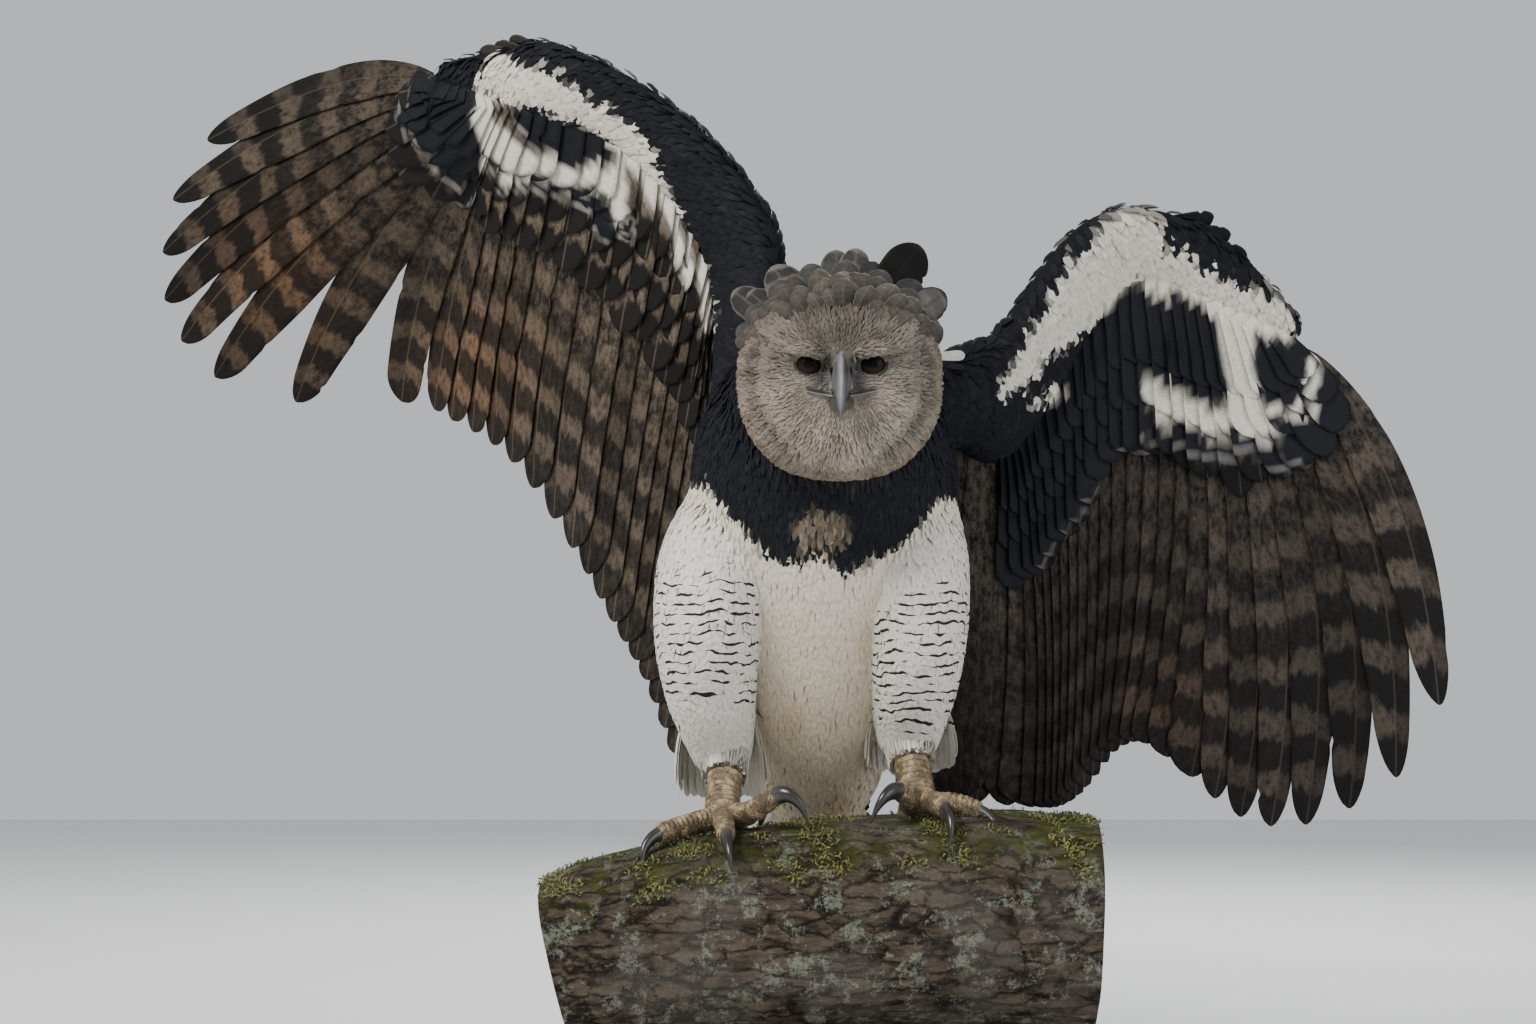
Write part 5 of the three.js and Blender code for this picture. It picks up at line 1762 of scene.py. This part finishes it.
def eye_material():
    """A near black iris with spokes, paler low down, round a black pupil. `vane` points out of the eye."""
    t = Tree("eye", {"Roughness": 0.04, "Specular IOR Level": 0.07})
    way = t.attribute("vane", "Vector")
    x, _, z = t.split(way)
    out = t.distance(x, z)
    spokes = t.noise(t.scaled(way, (9, 1, 9)), 2.0, 4.0, 0.7)
    iris = t.mix(spokes, (0.007, 0.005, 0.004, 1), (0.020, 0.013, 0.009, 1))
    iris = t.mix(t.ramp(z * -0.8, -0.1, 0.5) * 0.3, iris, (0.045, 0.032, 0.022, 1))
    colour = t.mix(t.ramp(out, 0.33, 0.37), (0.004, 0.004, 0.004, 1), iris)
    return t.finish(t.mix(t.ramp(out, 0.72, 0.80), colour, (0.008, 0.008, 0.008, 1)))


def lid_material():
    t = Tree("lid_skin", {"Roughness": 0.5})
    tone = t.noise(t.place(), 400.0, 3.0)
    return t.finish(t.mix(tone, (0.008, 0.008, 0.009, 1), (0.025, 0.024, 0.025, 1)), tone, 0.0003)


eye_surface = eye_material()
lid_skin = lid_material()


def eye_ball(side, middle):
    eye = mesh_object("eye_ball_" + side, *ball(48, 64, middle, EYE["radius"]), eye_surface)
    way = (mesh_points(eye) - middle) / EYE["radius"]
    paint(eye, "vane", way)
    unwrap(eye, 0.5 + 0.45 * way[:, [0, 2]])
    show(eye, "eye", "eye_" + side)


def lids(side, middle, rows=14, cols=64):
    """A thin ring round the eye's opening, which is flatter above than below."""
    u, v = np.meshgrid(np.arange(rows) / rows, np.arange(cols) / cols, indexing="ij")
    u, v = u.ravel(), v.ravel()
    a, b = 2 * np.pi * v, 2 * np.pi * u
    x, rise = LID["half"] * np.cos(a), np.abs(np.sin(a))
    z = np.where(np.sin(a) > 0, LID["up"] * rise**0.6, -LID["down"] * rise**0.9) + 0.08 * SIDES[side] * x
    ring = stacked(x, -np.sqrt((EYE["radius"] + LID["over"]) ** 2 - x**2 - z**2), z)
    over = stacked(np.cos(a), 0.0, np.sin(a))
    thick = LID["thick"]
    points = middle + ring + unit(ring) * (thick * np.cos(b))[:, None]
    points = points + over * ((thick - 0.1) * np.sin(b))[:, None]
    grid = np.arange(rows * cols).reshape(rows, cols)
    beside, after = np.roll(grid, -1, 1), np.roll(grid, -1, 0)
    faces = np.stack([grid, beside, np.roll(beside, -1, 0), after], axis=-1)
    rim = mesh_object("lids_" + side, points, [faces.reshape(-1, 4)], lid_skin)
    unwrap(rim, stacked(v, u))
    show(rim, "grey_feathers")


# A brow's keys from its inner end: [t, out from the eye, y, z, half width, half depth]
BROW = [
    [0, -17, -13, 8.0, 3.0, 3.0],
    [0.35, -7, -16, 12.0, 4.6, 5.0],
    [0.7, 6, -15, 13.3, 4.8, 5.0],
    [1, 19, -7, 12.8, 3.0, 3.4],
]


def brow_cell(points):
    off = points - HEAD_AT
    return cell("head", np.full(len(points), 0.5), np.arctan2(off[:, 0], off[:, 2]))


def brow(side, middle):
    """A feathered ridge that overhangs the eye."""
    sign = SIDES[side]
    keys = [[t, *(middle + [sign * out, y, z]), wide, deep] for t, out, y, z, wide, deep in BROW]
    ridge = mesh_object("brow_" + side, *Limb(keys, Z).solid(40, 28), body_feathers)
    points = mesh_points(ridge)
    paint(ridge, "tint", head_colour(points - HEAD_AT, random.normal(0, 1, len(points))))
    paint(ridge, "vane", points)
    unwrap(ridge, brow_cell(points))
    show(ridge, "grey_feathers")
    roots, normals = scatter(surface_of(ridge), slice(None), 1.6)
    n = len(roots)
    lie = np.array([sign * 0.9, 0.35, -0.22]) + 0.08 * random.normal(0, 1, (n, 3))
    tint = head_colour(roots - HEAD_AT, random.normal(0, 1, n))
    long, half = random.uniform(7, 10, n), random.uniform(0.8, 1.2, n)
    depth = random.uniform(0.8, 1.4, n)
    feathers = (roots, normals, lie, long, half, depth, tint, brow_cell(roots))
    show(tufts("brow_feathers_" + side, body_feathers, *feathers), "grey_feathers")


for side, middle in EYE_MIDDLE.items():
    eye_ball(side, middle)
    lids(side, middle)
    brow(side, middle)

# Feet

def scaled_skin_material():
    """Scutes across the front of the shank and the toes' tops, and small scales elsewhere. `vane` holds the
    place round and along the member in mm, `mark` how far on the scutes' side a place is and their length."""
    t = Tree("scaled_skin", {"Roughness": 0.55, "Specular IOR Level": 0.35})
    place = t.place()
    run = t.split(t.attribute("vane", "Vector"))[1]
    top, period, _ = t.split(t.attribute("mark", "Vector"))
    wave = (t.noise(place, 60.0) - 0.5) * 2.5
    uneven = t.ramp(t.noise(place, 75.0, 3.0, 0.7), 0.36, 0.52)
    groove = (1.0 - t.ramp(t.fraction((run + wave) / period), 0.04, 0.34)) * top * uneven
    scales = (1.0 - t.ramp(t.cells(place, 420.0, "DISTANCE_TO_EDGE"), 0.02, 0.16)) * (1.0 - top)
    tone = t.noise(place, 90.0, 4.0, 0.65)
    stain = t.ramp(t.noise(place, 70.0, 5.0, 0.8), 0.45, 0.54)
    colour = t.mix(t.ramp(tone, 0.35, 0.62), (0.13, 0.090, 0.050, 1), (0.41, 0.31, 0.175, 1))
    colour = t.mix(stain * 0.75, colour, (0.075, 0.055, 0.038, 1))
    colour = t.mix(groove * 0.95, colour, (0.028, 0.018, 0.012, 1))
    colour = t.mix(scales * 0.9, colour, (0.05, 0.032, 0.018, 1))
    return t.finish(colour, (groove + scales) * -1.0 + tone * 0.4, 0.0012, 0.8)


scaled_skin = scaled_skin_material()
claw_horn = horn_material("claw_horn", (400, 400, 90))
SHANK_SCUTE = 6.5
TOE_SCUTE = 5.5
SHANK_LONG = 130


def toe_limb(places):
    """A toe from its root over its knuckle to its end."""
    a, b, c = np.array(places[:3], float)
    middle = lerp(TOE_ROOT, TOE_END, 0.5)
    keys = [[0, *a, TOE_ROOT, TOE_ROOT], [0.5, *b, middle, middle], [1, *c, TOE_END, TOE_END]]
    return Limb(keys, unit(np.cross(c - a, Z)))


def claw_limb(places, half):
    """A claw that hooks down from the toe's end."""
    _, b, c, tip = np.array(places, float)
    out = unit(c - b)
    start = c - 3 * out
    bend = lerp(c + out * 0.62 * np.linalg.norm(c - tip), tip, 0.12)
    keys = []
    for t in (0, 0.25, 0.5, 0.75, 1):
        size = half * (1 - 0.9 * t**1.4)
        spot = lerp(lerp(start, bend, t), lerp(bend, tip, t), t)
        keys.append([t, *spot, 0.8 * size, size])
    return Limb(keys, unit(np.cross(out, Z)))


def pads(t, angle):
    """The pads under a toe."""
    return 1.8 * np.cos(2 * np.pi * 2.5 * t) ** 2 * np.maximum(0, np.sin(angle)) - 0.6


def heel(t, angle):
    """The shank is thicker near the thigh."""
    return 3.0 * smooth(0.75, 0.35, t) + 0 * angle


def foot(side):
    shank = Limb(SHANKS[side])
    toes = [toe_limb(places) for places in TOES[side].values()]
    parts = [shank.solid(60, 40, -0.3, relief=heel, span=(0.22, 1))]
    parts += [toe.solid(60, 36, -0.2, relief=pads) for toe in toes]
    piece = mesh_object("foot_" + side, *merged(parts), scaled_skin)
    remesh(piece, 1.4, 3)
    points = mesh_points(piece)
    found = [member.near(points) for member in (shank, *toes)]
    nearest = np.stack([f[2] for f in found], axis=-1).argmin(1)
    t = np.choose(nearest, [f[0] for f in found])
    angle = np.choose(nearest, [f[1] for f in found])
    lengths = [SHANK_LONG]
    for root, _, end, _ in TOES[side].values():
        lengths.append(np.linalg.norm(np.array(end) - root) * 1.1)
    run = t * np.array(lengths)[nearest]
    top = smooth(0.0, 0.45, np.where(nearest == 0, np.sin(angle), -np.sin(angle)))
    period = np.where(nearest == 0, SHANK_SCUTE, TOE_SCUTE)
    paint(piece, "vane", stacked(12 * angle, run, nearest / 5))
    paint(piece, "mark", stacked(top, period, 0.0))
    phase = (run / period) % 1
    scute = top * (1.2 * (1 - phase) - 1.4 * np.exp(-((np.minimum(phase, 1 - phase) / 0.12) ** 2)))
    move_points(piece, points + mesh_values(piece, "normal") * scute[:, None])
    unwrap(piece, stacked((nearest + 0.05 + 0.9 * ((angle / (2 * np.pi)) % 1)) / 5, 0.02 + 0.96 * t))
    show(piece, "scaled_skin", "shank_" + side, *[f"toe_{side}_{number}" for number in TOES[side]])


def claw(side, number, places):
    made = claw_limb(places, CLAW_HALF[number])
    piece = mesh_object(f"claw_horn_{side}_{number}", *made.solid(50, 32), claw_horn)
    order = np.arange(len(piece.data.vertices))
    share = order / order[-1]
    tone = 0.014 + 0.05 * np.exp(-((share / 0.16) ** 2))
    paint(piece, "tint", tone[:, None] * np.array([1.15, 1.0, 0.9]))
    unwrap(piece, stacked(0.5 + 0.4 * np.sin(order), share))
    show(piece, "horn", f"claw_{side}_{number}")


for side in SIDES:
    foot(side)
    for number, places in TOES[side].items():
        claw(side, number, places)

# Feathers that hang from each thigh over its shank

FRINGE_TOP = 130  # z
skin_surface = surface_of(skin)
skin_middles = skin_surface[0].mean(1)


def thigh_fringe(side):
    shank = Limb(SHANKS[side])
    t, _, ratio = shank.near(skin_middles)
    chosen = (ratio < 1.6) & (t > 0.12) & (t < 0.6) & (skin_middles[:, 2] < FRINGE_TOP)
    roots, normals = scatter(skin_surface, chosen, 2.6)
    t, angle, _ = shank.near(roots)
    n = len(roots)
    tips = shank.at(np.minimum(t, 0.46) + 0.13 + random.normal(0, 0.015, n), angle, 5.0)
    tint = WHITE * (1 + 0.03 * random.normal(0, 1, (n, 1)))
    long = np.linalg.norm(tips - roots, axis=1)
    feathers = (roots, normals, tips - roots, long, np.full(n, 2.2), np.full(n, 3.0), tint)
    fringe = tufts("thigh_fringe_" + side, barred, *feathers, cell("thigh_" + side, t, angle), tips=tips)
    show(fringe, "thigh_feathers")


for side in SIDES:
    thigh_fringe(side)

# Branch

BRANCH_LONG = 495
BRANCH_MIDDLE = -95  # z
# Waves of the bark's plates: along the branch, round it, height in mm and start
BARK_WAVES = [(0.045, 9, 0.8, 0.3), (0.09, 17, 0.55, 1.1), (0.16, 29, 0.4, 2.0), (0.3, 43, 0.25, 0.7)]


def bark_material():
    """Cracked bark with lichen, moss on its upper side, and the rings of the wood on the sawn ends."""
    t = Tree("bark", {"Roughness": 0.9, "Specular IOR Level": 0.15})
    place = t.place()
    warp = t.noise(place, 9.0, 2.0)
    long = t.scaled(place, (9, 34, 34))
    jagged = t.noise(place, 70.0, 5.0, 0.7) * 0.5
    bent = t.moved(t.moved(long, t.joined(warp, warp * 2.0, warp)), t.joined(jagged, jagged, jagged))
    ridges = t.noise(long, 2.4, 8.0, 0.75)
    fine = t.noise(place, 260.0, 6.0, 0.8)
    crack = t.ramp(t.cells(bent, 1.9, "DISTANCE_TO_EDGE") + (ridges - 0.5) * 0.35, -0.02, 0.13)
    colour = t.mix(t.ramp(ridges, 0.35, 0.65), (0.032, 0.024, 0.018, 1), (0.15, 0.115, 0.085, 1))
    colour = t.mix(1.0 - crack, colour, (0.014, 0.010, 0.008, 1))
    weathered = t.ramp(t.noise(place, 12.0, 6.0, 0.7), 0.45, 0.60)
    colour = t.mix(weathered * 0.5, colour, (0.16, 0.145, 0.125, 1))
    colour = t.shaded(colour, fine, 0.45, 1.45)
    lichen = t.ramp(t.noise(place, 26.0, 8.0, 0.85), 0.53, 0.57) * t.ramp(fine, 0.38, 0.52)
    colour = t.mix(lichen * 0.85, colour, (0.27, 0.29, 0.235, 1))
    normal = t.split(t.add("NewGeometry", {}, "Normal"))
    moss = t.ramp(normal[2], 0.25, 0.85) * t.ramp(t.noise(place, 28.0, 6.0, 0.75), 0.42, 0.60)
    colour = t.mix(moss * 0.85, colour, (0.075, 0.085, 0.016, 1))
    cut = t.ramp(abs(normal[0]), 0.80, 0.92)
    _, y, z = t.split(place)
    rings = t.fraction((t.distance(y, z - 0.17) + warp * 0.02) * 120.0)
    wood = t.mix(t.ramp(rings, 0.35, 0.95), (0.38, 0.27, 0.17, 1), (0.17, 0.105, 0.06, 1))
    height = (crack * 0.5 + (ridges + fine * 0.6)) * (1.0 - cut)
    return t.finish(t.mix(cut, colour, wood), height, 0.007, 1.0)


def bark_relief(t, angle):
    base = 1.6 * np.sin(9 * t + 5 * np.cos(angle)) + 1.2 * np.sin(17 * t - 7 * np.sin(angle))
    x = BRANCH_LONG * t
    plates = np.zeros_like(t)
    for wave, turn, size, start in BARK_WAVES:
        bend = 1.3 * np.sin(0.02 * x + start + 2 * angle)
        across = np.sin(turn * angle / 2 + bend * 2)
        plates += size * np.abs(np.sin(wave * x / 2 + start + bend) + across) / 1.4
    return base + plates - 1.2


limb = Limb(BRANCH, Y, flat=True, square=2.4)
trunk = mesh_object("branch_bark", *limb.solid(200, 270, 0.0, relief=bark_relief), bark_material())
points = mesh_points(trunk)
turn = np.arctan2(points[:, 2] - BRANCH_MIDDLE, points[:, 1]) / (2 * np.pi) % 1
unwrap(trunk, stacked(turn, 0.5 + points[:, 0] / 520))
show(trunk, "bark", "branch")


def moss():
    """Clumps of moss on the branch's upper side."""
    surface = surface_of(trunk)
    roots, normals = scatter(surface, surface[1].mean(1)[:, 2] > 0.45, 3.5)
    x, y = roots[:, 0], roots[:, 1]
    clump = np.sin(0.05 * x + 2) + np.sin(0.11 * x + 0.07 * y) + 0.8 * np.sin(0.19 * y + 1)
    keep = clump + random.normal(0, 0.35, len(roots)) > 0.7
    roots, normals = roots[keep], normals[keep]
    n = len(roots)
    lie = normals * 0.9 + random.normal(0, 1, (n, 3))
    green = lerp(np.array([0.055, 0.075, 0.012]), np.array([0.22, 0.21, 0.05]), random.random((n, 1)))
    long, half = random.uniform(2.5, 6, n), random.uniform(0.5, 1.0, n)
    depth = random.uniform(1.5, 4, n)
    places = stacked(0.5 + roots[:, 0] / 520, 0.5 + roots[:, 1] / 240)
    leaves = (roots, normals, lie, long, half, depth, green, places)
    show(tufts("branch_moss", feather_material("moss", 0.3, 0.3, 0.8), *leaves), "bark")


moss()

# Stand

BASE = {"width": 430, "depth": 330, "thick": 20, "corner": 40}
# The board's edge from its underside up: how far in it lies and its height
BASE_EDGE = [(2, 0), (0, 2), (0, 16), (1, 18.5), (3.5, 20)]
ROD_RADIUS = 9
RODS = {"right": -125, "left": 125}  # x


def wood_material():
    t = Tree("stand_wood", {"Roughness": 0.38, "Coat Weight": 0.3, "Coat Roughness": 0.2})
    inputs = {"Vector": t.scaled(t.place(), (1, 7, 7)), "Scale": 3.0, "Distortion": 6.0, "Detail": 4.0}
    grain = t.add("TexWave", inputs, "Fac")
    fine = t.noise(t.scaled(t.place(), (8, 160, 160)), 1.0, 4.0)
    colour = t.mix(grain * 0.6 + fine * 0.4, (0.030, 0.015, 0.008, 1), (0.085, 0.043, 0.020, 1))
    return t.finish(colour, fine, 0.0003, 0.3)


def steel_material():
    t = Tree("stand_steel", {"Metallic": 1.0, "Roughness": 0.32})
    tone = t.noise(t.scaled(t.place(), (900, 900, 20)), 1.0)
    return t.finish(t.mix(tone, (0.42, 0.42, 0.43, 1), (0.56, 0.56, 0.57, 1)), tone, 0.0001, 0.2)


def outline(inset, z):
    """The board's rounded outline, `inset` mm inside its edge."""
    points = []
    radius = BASE["corner"] - inset
    for k, (sx, sy) in enumerate(((1, -1), (1, 1), (-1, 1), (-1, -1))):
        cx, cy = sx * (BASE["width"] / 2 - BASE["corner"]), sy * (BASE["depth"] / 2 - BASE["corner"])
        for a in np.radians(np.linspace(-90, 0, 13) + 90 * k):
            points.append([cx + radius * math.cos(a), cy + radius * math.sin(a), z])
    return points


def stand_board():
    points = np.array([outline(inset, z) for inset, z in BASE_EDGE])
    grid = np.arange(points[..., 0].size).reshape(len(BASE_EDGE), -1)
    after = np.roll(grid, -1, 1)
    sides = np.stack([grid[:-1], after[:-1], after[1:], grid[1:]], axis=-1).reshape(-1, 4)
    points = points.reshape(-1, 3)
    board = mesh_object("stand_board", points - ORIGIN, [sides, grid[:1, ::-1], grid[-1:]], wood_material())
    for face in board.data.polygons[len(sides) :]:
        face.use_smooth = False
    unwrap(board, 0.5 + (points - ORIGIN)[:, :2] / 460)
    show(board, "stand_wood", "stand_base")


def stand_post(side, x, steel):
    low = BASE["thick"] + 0.3 - ORIGIN[2]
    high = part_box("stand_rod_" + side)[1][2] * 1000 - ORIGIN[2] - 4
    keys = [[0, x, 0, low, ROD_RADIUS, ROD_RADIUS], [1, x, 0, high, ROD_RADIUS, ROD_RADIUS]]
    post = mesh_object("stand_post_" + side, *Limb(keys, flat=True).solid(12, 40), steel)
    points = mesh_points(post)
    unwrap(post, stacked(0.5 + (points[:, 0] - x) / 40, (points[:, 2] - low) / 200))
    show(post, "stand_steel", "stand_rod_" + side)


stand_board()
steel = steel_material()
for side, x in RODS.items():
    stand_post(side, x, steel)

# Floor, light and camera

FLOOR_REACH = 6000


def floor_material():
    t = Tree("floor", {"Roughness": 0.9})
    return t.finish(t.mix(t.noise(t.place(), 3.0), (0.70, 0.70, 0.69, 1), (0.74, 0.74, 0.73, 1)))


corners = FLOOR_REACH * np.array([[-1, -1, 0], [1, -1, 0], [1, 1, 0], [-1, 1, 0]], float)
floor = mesh_object("floor", corners - ORIGIN, [np.array([[0, 1, 2, 3]])], floor_material())
floor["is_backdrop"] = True


def area_light(name, at, size, power, colour=(1, 1, 1)):
    """A square light that shines on the bird's middle."""
    lamp = bpy.data.lights.new(name, "AREA")
    lamp.size = size
    lamp.energy = power
    lamp.color = colour
    piece = bpy.data.objects.new(name, lamp)
    piece.location = at
    piece.rotation_euler = (Vector((0, 0, 0.6)) - Vector(at)).to_track_quat("-Z", "Y").to_euler()
    bpy.context.scene.collection.objects.link(piece)
    piece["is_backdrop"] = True


area_light("key", (-1.8, -2.3, 2.9), 1.3, 150, (1, 0.97, 0.92))
area_light("fill", (2.6, -2.2, 1.2), 2.2, 35, (0.93, 0.96, 1))
area_light("back", (0.8, 2.6, 2.8), 1.4, 110)
world = bpy.data.worlds.new("studio")
world.use_nodes = True
background = world.node_tree.nodes["Background"].inputs
background["Color"].default_value = (0.86, 0.89, 0.93, 1)
background["Strength"].default_value = 0.7
bpy.context.scene.world = world

camera = bpy.data.cameras.new("camera")
camera.lens = 74.0
camera.sensor_width = 36
viewer = bpy.data.objects.new("camera", camera)
viewer.location = (-0.0494, -3.0459, 0.4053)
viewer.rotation_euler = (math.radians(93), 0, 0)
bpy.context.scene.collection.objects.link(viewer)
bpy.context.scene.camera = viewer

sizes = {"cad": CAD_BOX, "visual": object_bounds()}
sizes = {name: [[float(c) for c in corner] for corner in box] for name, box in sizes.items()}
